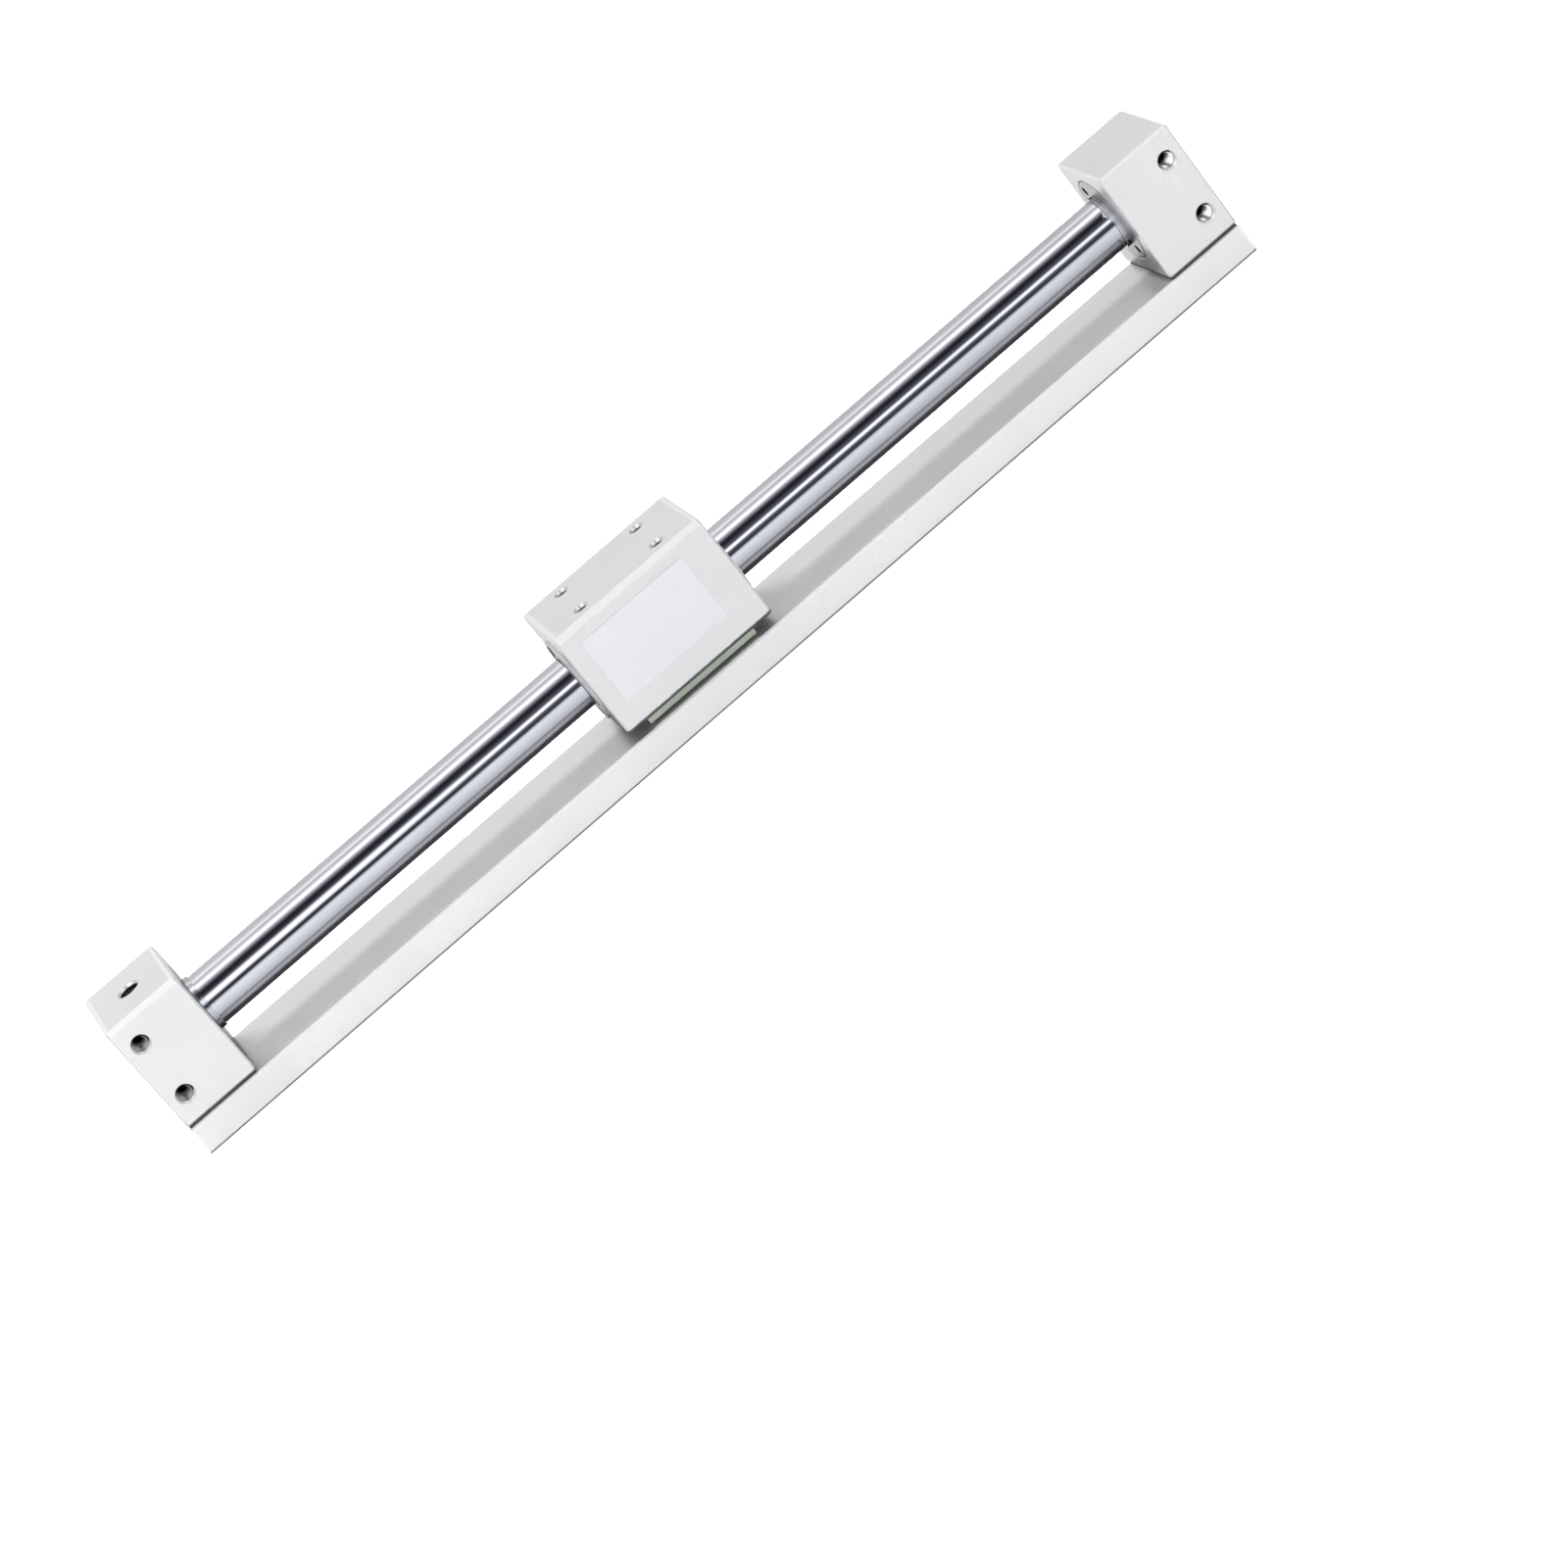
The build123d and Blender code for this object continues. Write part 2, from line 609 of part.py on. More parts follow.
for side_name, side in SIDES.items():
    seal_far = piston_end - seal_groove_inset
    seal_near = seal_far - seal_width
    wear_far = piston_end - wear_groove_inset
    wear_near = wear_far - wear_width
    with BuildPart() as piston:
        with BuildSketch(Plane.XZ):
            with BuildLine():
                Polyline(
                    *turned(
                        side,
                        (stack_half, shaft_fit),
                        (stack_half, piston_radius),
                        (wear_near, piston_radius),
                        (wear_near, wear_floor),
                        (wear_far, wear_floor),
                        (wear_far, piston_radius),
                        (seal_near, piston_radius),
                        (seal_near, seal_floor),
                        (seal_far, seal_floor),
                        (seal_far, piston_radius),
                        (piston_end - piston_chamfer, piston_radius),
                        (piston_end, piston_radius - piston_chamfer),
                        (piston_end, shaft_fit),
                    ),
                    close=True,
                )
            make_face()
        revolve(axis=piston_axis)
    piston.part.label = f"piston_{side_name}"
    export_step(piston.part, f"parts/piston_{side_name}.step")

    # Lip seal, its notch towards the air
    seal_lip = bore_radius - running_clearance
    seal_middle = (seal_lip + seal_floor + groove_clearance) / 2
    with BuildPart() as piston_seal:
        with BuildSketch(Plane.XZ):
            with BuildLine():
                Polyline(
                    *turned(
                        side,
                        (seal_near + groove_clearance, seal_floor + groove_clearance),
                        (seal_near + groove_clearance, seal_lip),
                        (seal_far - groove_clearance, seal_lip),
                        (seal_far - groove_clearance, seal_middle + seal_notch),
                        (seal_far - seal_width / 2, seal_middle),
                        (seal_far - groove_clearance, seal_middle - seal_notch),
                        (seal_far - groove_clearance, seal_floor + groove_clearance),
                    ),
                    close=True,
                )
            make_face()
        revolve(axis=piston_axis)
    piston_seal.part.label = f"piston_seal_{side_name}"
    export_step(piston_seal.part, f"parts/piston_seal_{side_name}.step")

    # Split wear ring
    with BuildPart() as piston_wear_ring:
        with BuildSketch(across(rest_offset + side * (wear_near + groove_clearance), side)):
            Circle(bore_radius - running_clearance)
            Circle(wear_floor + groove_clearance, mode=Mode.SUBTRACT)
            with Locations((0, bore_radius)):
                Rectangle(wear_split, bore_radius, mode=Mode.SUBTRACT)
        extrude(amount=wear_width - 2 * groove_clearance)
    piston_wear_ring.part.label = f"piston_wear_ring_{side_name}"
    export_step(piston_wear_ring.part, f"parts/piston_wear_ring_{side_name}.step")

    # Nut on the shaft
    with BuildPart() as piston_nut:
        with BuildSketch(across(rest_offset + side * piston_end, side)):
            RegularPolygon(nut_corner_radius, 6)
            Circle(shaft_fit, mode=Mode.SUBTRACT)
        extrude(amount=nut_thickness)
    piston_nut.part.label = f"piston_nut_{side_name}"
    export_step(piston_nut.part, f"parts/piston_nut_{side_name}.step")

    # Rubber bumper around the nut
    with BuildPart() as piston_bumper:
        with BuildSketch(across(rest_offset + side * piston_end, side)):
            Circle(bumper_radius)
            Circle(bumper_radius - bumper_wall, mode=Mode.SUBTRACT)
        extrude(amount=bumper_length)
    piston_bumper.part.label = f"piston_bumper_{side_name}"
    export_step(piston_bumper.part, f"parts/piston_bumper_{side_name}.step")
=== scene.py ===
"""Looks of a magnetically coupled rodless air cylinder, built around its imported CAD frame.

Lengths are in metres, in the part's own frame: X runs along the tube, Y to the back and Z up,
with the origin under the middle of the rail. Each sub-assembly is a class that makes its own
added pieces and dresses its CAD nodes, and each finish is a small class that makes one
procedural material.
"""

import logging
import math
from dataclasses import dataclass
from enum import Enum

import bmesh
import bpy
from mathutils import Matrix, Vector


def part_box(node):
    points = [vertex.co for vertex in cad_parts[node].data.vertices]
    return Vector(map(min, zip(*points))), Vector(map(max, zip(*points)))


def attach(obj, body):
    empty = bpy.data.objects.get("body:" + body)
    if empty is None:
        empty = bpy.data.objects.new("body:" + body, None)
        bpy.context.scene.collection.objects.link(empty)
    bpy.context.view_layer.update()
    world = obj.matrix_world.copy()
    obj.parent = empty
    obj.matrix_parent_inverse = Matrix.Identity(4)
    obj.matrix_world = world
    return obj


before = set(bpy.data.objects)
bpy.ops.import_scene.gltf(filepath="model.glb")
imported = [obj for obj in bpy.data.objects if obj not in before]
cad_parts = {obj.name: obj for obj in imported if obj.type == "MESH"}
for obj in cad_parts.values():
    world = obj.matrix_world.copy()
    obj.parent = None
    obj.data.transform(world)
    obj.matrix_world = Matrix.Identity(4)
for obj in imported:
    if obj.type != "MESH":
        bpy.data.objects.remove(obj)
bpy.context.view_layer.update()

MM = 0.001
SIDES = ("left", "right")
Colour = tuple[float, float, float]
Point = tuple[float, float, float]
Span = tuple[float, float]
Finishes = tuple[tuple[str, str], ...]
Socket = bpy.types.NodeSocket
Material = bpy.types.Material
Piece = bpy.types.Object

log = logging.getLogger("air_cylinder")


# --- Node wiring ---


class Wiring:
    """Adds nodes to one node tree and joins them."""

    def __init__(self, tree: bpy.types.NodeTree) -> None:
        """Keep the tree that the nodes go into."""
        self.tree = tree

    def node(self, kind: str, inputs: dict | None = None, **settings: object) -> bpy.types.Node:
        """Add a node, set its properties, and fill or join its inputs.

        Args:
            kind: Blender's name of the node type, without the leading ShaderNode.
            inputs: Input names or numbers, each with a constant or the socket that feeds it.
            settings: Properties of the node.

        Returns:
            The new node.
        """
        made = self.tree.nodes.new(f"ShaderNode{kind}")
        for name, value in settings.items():
            setattr(made, name, value)
        self.fill(made, inputs or {})
        return made

    def fill(self, node: bpy.types.Node, inputs: dict) -> None:
        """Set or join inputs of a node.

        Args:
            node: Node whose inputs are filled.
            inputs: Input names or numbers, each with a constant or the socket that feeds it.
        """
        for key, value in inputs.items():
            if isinstance(value, bpy.types.NodeSocket):
                self.tree.links.new(value, node.inputs[key])
            else:
                node.inputs[key].default_value = value

    def math(self, operation: str, *operands: object) -> Socket:
        """Add a Math node."""
        return self.node("Math", dict(enumerate(operands)), operation=operation).outputs[0]

    def vector(self, operation: str, *operands: object) -> Socket:
        """Add a Vector Math node.

        Args:
            operation: Blender's name of the operation.
            operands: Constants or sockets, in order.

        Returns:
            The node's vector, or its value for a length or a dot product.
        """
        made = self.node("VectorMath", dict(enumerate(operands)), operation=operation)
        single = operation in ("LENGTH", "DOT_PRODUCT")
        return made.outputs["Value" if single else "Vector"]

    def remap(self, value: Socket, old: Span, new: Span = (0.0, 1.0)) -> Socket:
        """Carry a value smoothly from one span to another.

        Args:
            value: Value to carry over.
            old: Low and high end of the span it comes from.
            new: What those two ends become.

        Returns:
            The new value, held inside the new span.
        """
        ends = {"Value": value, "From Min": old[0], "From Max": old[1]}
        ends |= {"To Min": new[0], "To Max": new[1]}
        return self.node("MapRange", ends, interpolation_type="SMOOTHSTEP").outputs[0]

    def mix(self, share: Socket, first: object, second: object) -> Socket:
        """Mix two colours.

        Args:
            share: Share of the second colour.
            first: Colour or socket at share 0.
            second: Colour or socket at share 1.

        Returns:
            The mixed colour.
        """
        made = self.node("Mix", data_type="RGBA", clamp_factor=True)
        for index, value in ((0, share), (6, first), (7, second)):
            solid = isinstance(value, tuple) and len(value) == 3
            self.fill(made, {index: (*value, 1.0) if solid else value})
        return made.outputs[2]

    def noise(self, position: Socket, scale: float | Socket, detail: float = 2.0) -> Socket:
        """Add a Noise Texture."""
        inputs = {"Vector": position, "Scale": scale, "Detail": detail}
        return self.node("TexNoise", inputs).outputs[0]


class Group(Wiring):
    """Wiring of a shared group, whose inputs are read by name."""

    def __init__(self, tree: bpy.types.NodeTree) -> None:
        """Add the nodes through which values come in and go out.

        Args:
            tree: Node tree of the group.
        """
        super().__init__(tree)
        self._start = tree.nodes.new("NodeGroupInput")
        self._end = tree.nodes.new("NodeGroupOutput")

    def __getitem__(self, name: str) -> Socket:
        """Read an input."""
        return self._start.outputs[name]

    def give(self, **values: Socket) -> None:
        """Give the group's outputs."""
        self.fill(self._end, values)


class Coat(Wiring):
    """Wiring of one material, with its Principled shader and its object's coordinates."""

    def __init__(self, material: Material) -> None:
        """Keep the material's shader and add its coordinates.

        Args:
            material: The new material.
        """
        material.use_nodes = True
        super().__init__(material.node_tree)
        self.shader = self.tree.nodes["Principled BSDF"]
        self.position = self.node("TexCoord").outputs["Object"]

    def lay(
        self, colour: Socket, roughness: Socket, height: Socket, depth: float, strength: float
    ) -> None:
        """Feed the shader its colour, roughness and small relief.

        Args:
            colour: Base colour.
            roughness: Roughness.
            height: Height of the relief, from 0 to about 1.
            depth: How deep the relief is, in metres.
            strength: Share of the relief that shows.
        """
        bump = self.node("Bump", {"Height": height, "Distance": depth, "Strength": strength})
        inputs = {"Base Color": colour, "Roughness": roughness, "Normal": bump.outputs[0]}
        self.fill(self.shader, inputs)


class Kind(Enum):
    """Socket types of the shared patterns."""

    NUMBER = "NodeSocketFloat"
    POINT = "NodeSocketVector"


class Pattern:
    """A shader node group that several materials share."""

    title = "pattern"
    takes: dict[str, Kind] = {}
    gives: tuple[str, ...] = ()
    _built: dict[str, bpy.types.NodeTree] = {}

    def draw(self, group: Group) -> None:
        """Wire the inside of the group."""
        raise NotImplementedError

    def tree(self) -> bpy.types.NodeTree:
        """Build the group once.

        Returns:
            The group's node tree.
        """
        if self.title not in Pattern._built:
            tree = bpy.data.node_groups.new(self.title, "ShaderNodeTree")
            for name, kind in self.takes.items():
                tree.interface.new_socket(name=name, in_out="INPUT", socket_type=kind.value)
            for name in self.gives:
                tree.interface.new_socket(
                    name=name, in_out="OUTPUT", socket_type=Kind.NUMBER.value
                )
            self.draw(Group(tree))
            Pattern._built[self.title] = tree
        return Pattern._built[self.title]

    def place(self, coat: Coat, **values: object) -> bpy.types.bpy_prop_collection:
        """Place the group in a material, at the material's own position.

        Args:
            coat: Wiring of the material.
            values: The group's other inputs, with a constant or the socket that feeds each.

        Returns:
            The placed group's outputs.
        """
        made = coat.tree.nodes.new("ShaderNodeGroup")
        made.node_tree = self.tree()
        coat.fill(made, {"Position": coat.position} | values)
        return made.outputs


class BlastGrain(Pattern):
    """Fine pits of a bead-blasted or moulded surface, with a slow change of tone."""

    title = "blast_grain"
    takes = {"Position": Kind.POINT, "Scale": Kind.NUMBER}
    gives = ("Height", "Tone")

    def draw(self, group: Group) -> None:
        """Wire two layers of pits and a slow tone.

        Args:
            group: Wiring of the group.
        """
        fine = group.noise(group["Position"], group["Scale"], 3.0)
        coarse_scale = group.math("MULTIPLY", group["Scale"], 0.31)
        coarse = group.noise(group["Position"], coarse_scale, 2.0)
        height = group.math("MULTIPLY_ADD", coarse, 0.6, fine)
        slow_scale = group.math("MULTIPLY", group["Scale"], 0.012)
        slow = group.noise(group["Position"], slow_scale, 3.0)
        tone = group.math("MULTIPLY_ADD", fine, 0.5, group.math("MULTIPLY", slow, 0.5))
        group.give(Height=height, Tone=tone)


class BoxEdges(Pattern):
    """Mask on the chamfers of a box-shaped piece, where finishes paint highlights and shade."""

    title = "box_edges"
    takes = {
        "Position": Kind.POINT,
        "Centre": Kind.POINT,
        "Half": Kind.POINT,
        "Width": Kind.NUMBER,
    }
    gives = ("Mask",)

    def draw(self, group: Group) -> None:
        """Wire the sum of the two smallest depths, which is the chamfer's size on a chamfer.

        Args:
            group: Wiring of the group.
        """
        away = group.vector("SUBTRACT", group["Position"], group["Centre"])
        depth = group.vector("SUBTRACT", group["Half"], group.vector("ABSOLUTE", away))
        x, y, z = group.node("SeparateXYZ", {0: depth}).outputs
        whole = group.vector("DOT_PRODUCT", depth, (1.0, 1.0, 1.0))
        deepest = group.math("MAXIMUM", group.math("MAXIMUM", x, y), z)
        both = group.math("SUBTRACT", whole, deepest)
        wander = group.remap(group.noise(group["Position"], 900.0, 4.0), (0.3, 0.7), (1.0, 1.25))
        reach = group.math("MULTIPLY", group["Width"], wander)
        share = group.math("DIVIDE", both, reach)
        group.give(Mask=group.remap(share, (1.0, 1.25), (1.0, 0.0)))


class BoreShade(Pattern):
    """Mask inside a drilled hole, where a finish paints shade."""

    title = "bore_shade"
    takes = {
        "Position": Kind.POINT,
        "Mouth": Kind.POINT,
        "Inward": Kind.POINT,
        "Radius": Kind.NUMBER,
        "Start": Kind.NUMBER,
        "Reach": Kind.NUMBER,
        "End": Kind.NUMBER,
    }
    gives = ("Mask",)

    def draw(self, group: Group) -> None:
        """Wire the distance from the hole's axis and the depth below its mouth into a mask.

        Args:
            group: Wiring of the group.
        """
        away = group.vector("SUBTRACT", group["Position"], group["Mouth"])
        depth = group.vector("DOT_PRODUCT", away, group["Inward"])
        reach = group.vector("LENGTH", group.vector("CROSS_PRODUCT", away, group["Inward"]))
        inside = group.math("LESS_THAN", reach, group["Radius"])
        ended = group.math("LESS_THAN", depth, group["End"])
        below = group.math("SUBTRACT", depth, group["Start"])
        deep = group.remap(group.math("DIVIDE", below, group["Reach"]), (0.0, 1.0))
        hole = group.math("MULTIPLY", inside, ended)
        group.give(Mask=group.math("MULTIPLY", hole, deep))


class TurnedLines(Pattern):
    """Fine rings around the tube's axis, as a lathe tool leaves them."""

    title = "turned_lines"
    takes = {"Position": Kind.POINT, "Axis Height": Kind.NUMBER, "Pitch": Kind.NUMBER}
    gives = ("Height", "Tone")

    def draw(self, group: Group) -> None:
        """Wire noise that runs only outwards and along the axis.

        Args:
            group: Wiring of the group.
        """
        x, y, z = group.node("SeparateXYZ", {0: group["Position"]}).outputs
        across = group.math("SUBTRACT", z, group["Axis Height"])
        spread = group.node("CombineXYZ", {1: y, 2: across}).outputs[0]
        radius = group.vector("LENGTH", spread)
        rings = group.node("CombineXYZ", {0: radius, 1: x}).outputs[0]
        scale = group.math("DIVIDE", 1.0, group["Pitch"])
        height = group.noise(rings, scale, 2.0)
        tone = group.noise(rings, group.math("MULTIPLY", scale, 0.15), 2.0)
        group.give(Height=height, Tone=tone)


class PolishLines(Pattern):
    """Hair lines along a drawn and polished tube, and soft wipe marks on it."""

    title = "polish_lines"
    takes = {"Position": Kind.POINT, "Scale": Kind.NUMBER}
    gives = ("Height", "Wipe")

    def draw(self, group: Group) -> None:
        """Wire noise that is stretched along X, and a coarse noise for the wipes.

        Args:
            group: Wiring of the group.
        """
        drawn = group.vector("MULTIPLY", group["Position"], (0.02, 1.0, 1.0))
        height = group.noise(drawn, group["Scale"], 3.0)
        wiped = group.vector("MULTIPLY", group["Position"], (0.25, 1.0, 1.0))
        wipe = group.noise(wiped, group.math("MULTIPLY", group["Scale"], 0.03), 4.0)
        group.give(Height=height, Wipe=wipe)


# --- Finishes ---


@dataclass(frozen=True)
class Bore:
    """A round hole that a finish paints shade into, from one depth to another."""

    mouth: Point
    inward: Point
    radius: float
    start: float = 0.0
    reach: float = 0.3 * MM
    end: float = 7.0 * MM


@dataclass(frozen=True)
class Finish:
    """A procedural surface finish.

    The mirror gain scales its colour as the pieces around see it, in glossy and diffuse rays:
    painted shade in what they mirror and bounce below 1, painted light above 1.
    """

    colour: Colour = (0.8, 0.8, 0.8)
    metallic: float = 0.0
    roughness: float = 0.5
    mirror_gain: float = 1.0
    bores: tuple[Bore, ...] = ()
    # Painted shade inside the drilled holes.
    bore_colour: Colour = (0.03, 0.03, 0.033)

    def material(self, name: str) -> Material:
        """Make the material.

        Args:
            name: Name of the new material.

        Returns:
            The material, with its Principled shader fed by this finish.
        """
        made = bpy.data.materials.new(name)
        coat = Coat(made)
        basics = {"Base Color": (*self.colour, 1.0), "Metallic": self.metallic}
        coat.fill(coat.shader, basics | {"Roughness": self.roughness})
        self.wire(coat)
        return made

    def wire(self, coat: Coat) -> None:
        """Wire this finish's patterns into the shader."""
        raise NotImplementedError

    def toned(self, factor: float) -> Colour:
        """Darken or lighten this finish's colour."""
        return tuple(min(1.0, factor * part) for part in self.colour)

    def drilled(self, coat: Coat, colour: Socket) -> Socket:
        """Paint shade into a colour inside this finish's drilled holes.

        Args:
            coat: Wiring of the material.
            colour: Colour outside the holes.

        Returns:
            The colour with its shaded holes.
        """
        for bore in self.bores:
            values = {name.title(): value for name, value in vars(bore).items()}
            shade = BoreShade().place(coat, **values)
            colour = coat.mix(shade["Mask"], colour, self.bore_colour)
        return colour

    def mirrored(self, coat: Coat, colour: Socket, gain: Socket | None = None) -> Socket:
        """Paint shade into a colour as the pieces around see it, so that gaps between pieces stay
        dark.

        Args:
            coat: Wiring of the material.
            colour: Colour that the camera sees.
            gain: Scale as other pieces see it, where it isn't this finish's own.

        Returns:
            The colour for every kind of ray.
        """
        ray = coat.node("LightPath").outputs
        again = coat.math("MAXIMUM", ray["Is Glossy Ray"], ray["Is Diffuse Ray"])
        change = coat.math("SUBTRACT", self.mirror_gain if gain is None else gain, 1.0)
        return coat.vector("MULTIPLY", colour, coat.math("MULTIPLY_ADD", again, change, 1.0))


@dataclass(frozen=True)
class BlastedAluminium(Finish):
    """Clear anodised aluminium, bead blasted first, with a painted highlight along its upper edges.

    The gain goes over to the one behind across the gain's depths, which are along Y; the gains are
    painted shade in what the pieces around mirror and bounce. The edges' heights are above the
    piece's floor, below which they get no painted highlight. The painted highlight along the roof
    and the painted shade along the floor take their own widths, and change over at the width's
    shares.
    """

    colour: Colour = (0.72, 0.72, 0.72)
    metallic: float = 0.75
    roughness: float = 0.30
    mirror_gain: float = 0.65
    mirror_gain_behind: float = 0.65
    gain_depths: Span = (-5.5 * MM, 1.0 * MM)
    # Painted shade on the lower chamfers: its share, its dark colour and its reach.
    under_share: float = 0.2
    under_colour: Colour = (0.1, 0.1, 0.1)
    under_reach: float = 1.5
    low: Point = (0.0, 0.0, 0.0)
    high: Point = (1.0, 1.0, 1.0)
    tones: Span = (0.965, 1.025)
    # Painted highlight on the upper chamfers: their brighter colour and its share.
    edge_colour: Colour = (0.84, 0.84, 0.84)
    edge_share: float = 0.8
    edge_roughness: float = 0.22
    edge_heights: Span = (1.0 * MM, 2.0 * MM)
    edge_width: float = 0.45 * MM
    roof_width: float = 0.45 * MM
    floor_width: float = 0.45 * MM
    width_shares: Span = (1.3, 1.6)
    grain_scale: float = 5200.0
    grain_depth: float = 0.012 * MM

    def wire(self, coat: Coat) -> None:
        """Wire grain, tone and bright edges.

        Args:
            coat: Wiring of the material.
        """
        grain = BlastGrain().place(coat, Scale=self.grain_scale)
        low, high = Vector(self.low), Vector(self.high)
        _, y, height = coat.node("SeparateXYZ", {0: coat.position}).outputs
        near, far = self.width_shares
        near_roof = (high.z - far * self.roof_width, high.z - near * self.roof_width)
        near_floor = (low.z + near * self.floor_width, low.z + far * self.floor_width)
        upper = coat.remap(height, near_roof, (self.edge_width, self.roof_width))
        lower = coat.remap(height, near_floor, (self.floor_width, self.edge_width))
        edges = BoxEdges().place(
            coat,
            Centre=(low + high) / 2,
            Half=(high - low) / 2,
            Width=coat.math("MAXIMUM", upper, lower),
        )
        lifted = coat.remap(height, tuple(low.z + above for above in self.edge_heights))
        # Painted highlight: the chamfers are brightened only above the floor, where light falls.
        chamfer_highlight = coat.math("MULTIPLY", edges["Mask"], lifted)
        # Painted shade along the lower chamfers, darkened towards the dark under colour.
        low_edge = (low.z + self.floor_width, low.z + self.under_reach * self.floor_width)
        shaded = coat.remap(height, low_edge, (self.under_share, 0.0))
        under = coat.math("MULTIPLY", edges["Mask"], shaded)
        body = coat.mix(coat.remap(grain["Tone"], (0.35, 0.65)), *map(self.toned, self.tones))
        share = coat.math("MULTIPLY", chamfer_highlight, self.edge_share)
        dressed = coat.mix(under, coat.mix(share, body, self.edge_colour), self.under_colour)
        gains = (self.mirror_gain, self.mirror_gain_behind)
        gain = coat.remap(y, self.gain_depths, gains)
        colour = self.mirrored(coat, self.drilled(coat, dressed), gain)
        duller, shinier = self.roughness + 0.05, self.roughness - 0.04
        rough = coat.remap(grain["Tone"], (0.3, 0.7), (duller, shinier))
        worn = coat.math("MULTIPLY_ADD", chamfer_highlight, self.edge_roughness, rough)
        coat.lay(colour, worn, grain["Height"], self.grain_depth, 0.35)


@dataclass(frozen=True)
class PolishedTube(Finish):
    """Mirror-polished stainless steel with drawn hair lines and faint wipe marks."""

    colour: Colour = (0.775, 0.78, 0.845)
    metallic: float = 1.0
    roughness: float = 0.035
    mirror_gain: float = 0.5
    wiped_tone: float = 0.95
    wiped_roughness: float = 0.02
    line_scale: float = 9000.0
    line_depth: float = 0.0015 * MM

    def wire(self, coat: Coat) -> None:
        """Wire hair lines and wipe marks.

        Args:
            coat: Wiring of the material.
        """
        lines = PolishLines().place(coat, Scale=self.line_scale)
        wipe = coat.remap(lines["Wipe"], (0.35, 0.7))
        rough = coat.math("MULTIPLY_ADD", wipe, self.wiped_roughness, self.roughness)
        colour = self.mirrored(coat, coat.mix(wipe, self.colour, self.toned(self.wiped_tone)))
        coat.lay(colour, rough, lines["Height"], self.line_depth, 0.12)


@dataclass(frozen=True)
class TurnedMetal(Finish):
    """Metal turned on a lathe, with fine rings around the tube's axis."""

    colour: Colour = (0.82, 0.82, 0.82)
    metallic: float = 0.8
    roughness: float = 0.34
    mirror_gain: float = 0.5
    axis_height: float = 21.0 * MM
    dark_tone: float = 0.86
    pitch: float = 0.12 * MM
    depth: float = 0.012 * MM

    def wire(self, coat: Coat) -> None:
        """Wire the rings into colour, roughness and relief.

        Args:
            coat: Wiring of the material.
        """
        values = {"Axis Height": self.axis_height, "Pitch": self.pitch}
        lines = TurnedLines().place(coat, **values)
        tone = coat.remap(lines["Tone"], (0.3, 0.7))
        body = coat.mix(tone, self.toned(self.dark_tone), self.colour)
        colour = self.mirrored(coat, self.drilled(coat, body))
        rough = coat.math("MULTIPLY_ADD", lines["Height"], 0.16, self.roughness - 0.08)
        coat.lay(colour, rough, lines["Height"], self.depth, 0.5)


@dataclass(frozen=True)
class PlatedSteel(Finish):
    """Zinc, nickel or phosphate over steel: small crystals and a drifting tint."""

    colour: Colour = (0.55, 0.55, 0.54)
    metallic: float = 0.9
    roughness: float = 0.36
    tint: Colour = (0.50, 0.52, 0.56)
    tint_scale: float = 160.0
    dark_tone: float = 0.82
    crystal_scale: float = 2600.0
    depth: float = 0.006 * MM

    def wire(self, coat: Coat) -> None:
        """Wire crystals and the drift of the tint.

        Args:
            coat: Wiring of the material.
        """
        cells = {"Vector": coat.position, "Scale": self.crystal_scale}
        crystal = coat.node("TexVoronoi", cells).outputs["Distance"]
        drift = coat.remap(coat.noise(coat.position, self.tint_scale, 3.0), (0.35, 0.65))
        base = coat.mix(drift, self.colour, self.tint)
        spark = coat.math("MULTIPLY", crystal, 0.35)
        colour = self.mirrored(coat, coat.mix(spark, base, self.toned(self.dark_tone)))
        rough = coat.math("MULTIPLY_ADD", crystal, 0.18, self.roughness - 0.06)
        coat.lay(colour, rough, crystal, self.depth, 0.4)


@dataclass(frozen=True)
class Grained(Finish):
    """Rubber, urethane, resin or label film: a fine grain under a little bloom.

    The bloom's tones are those of the grain at which it begins and has its full share. The
    roughness rises by its slope over the grain's tones.
    """

    colour: Colour = (0.02, 0.02, 0.021)
    roughness: float = 0.55
    slope: float = 0.2
    bloom: Colour = (0.05, 0.05, 0.05)
    bloom_tones: Span = (0.4, 0.7)
    bloom_share: float = 0.6
    grain_scale: float = 4200.0
    grain_depth: float = 0.015 * MM
    strength: float = 0.4

    def wire(self, coat: Coat) -> None:
        """Wire the grain and the bloom.

        Args:
            coat: Wiring of the material.
        """
        grain = BlastGrain().place(coat, Scale=self.grain_scale)
        bloom = coat.remap(grain["Tone"], self.bloom_tones, (0.0, self.bloom_share))
        colour = coat.mix(bloom, self.colour, self.bloom)
        smoothest = self.roughness - self.slope / 2
        rough = coat.math("MULTIPLY_ADD", grain["Tone"], self.slope, smoothest)
        coat.lay(colour, rough, grain["Height"], self.grain_depth, self.strength)


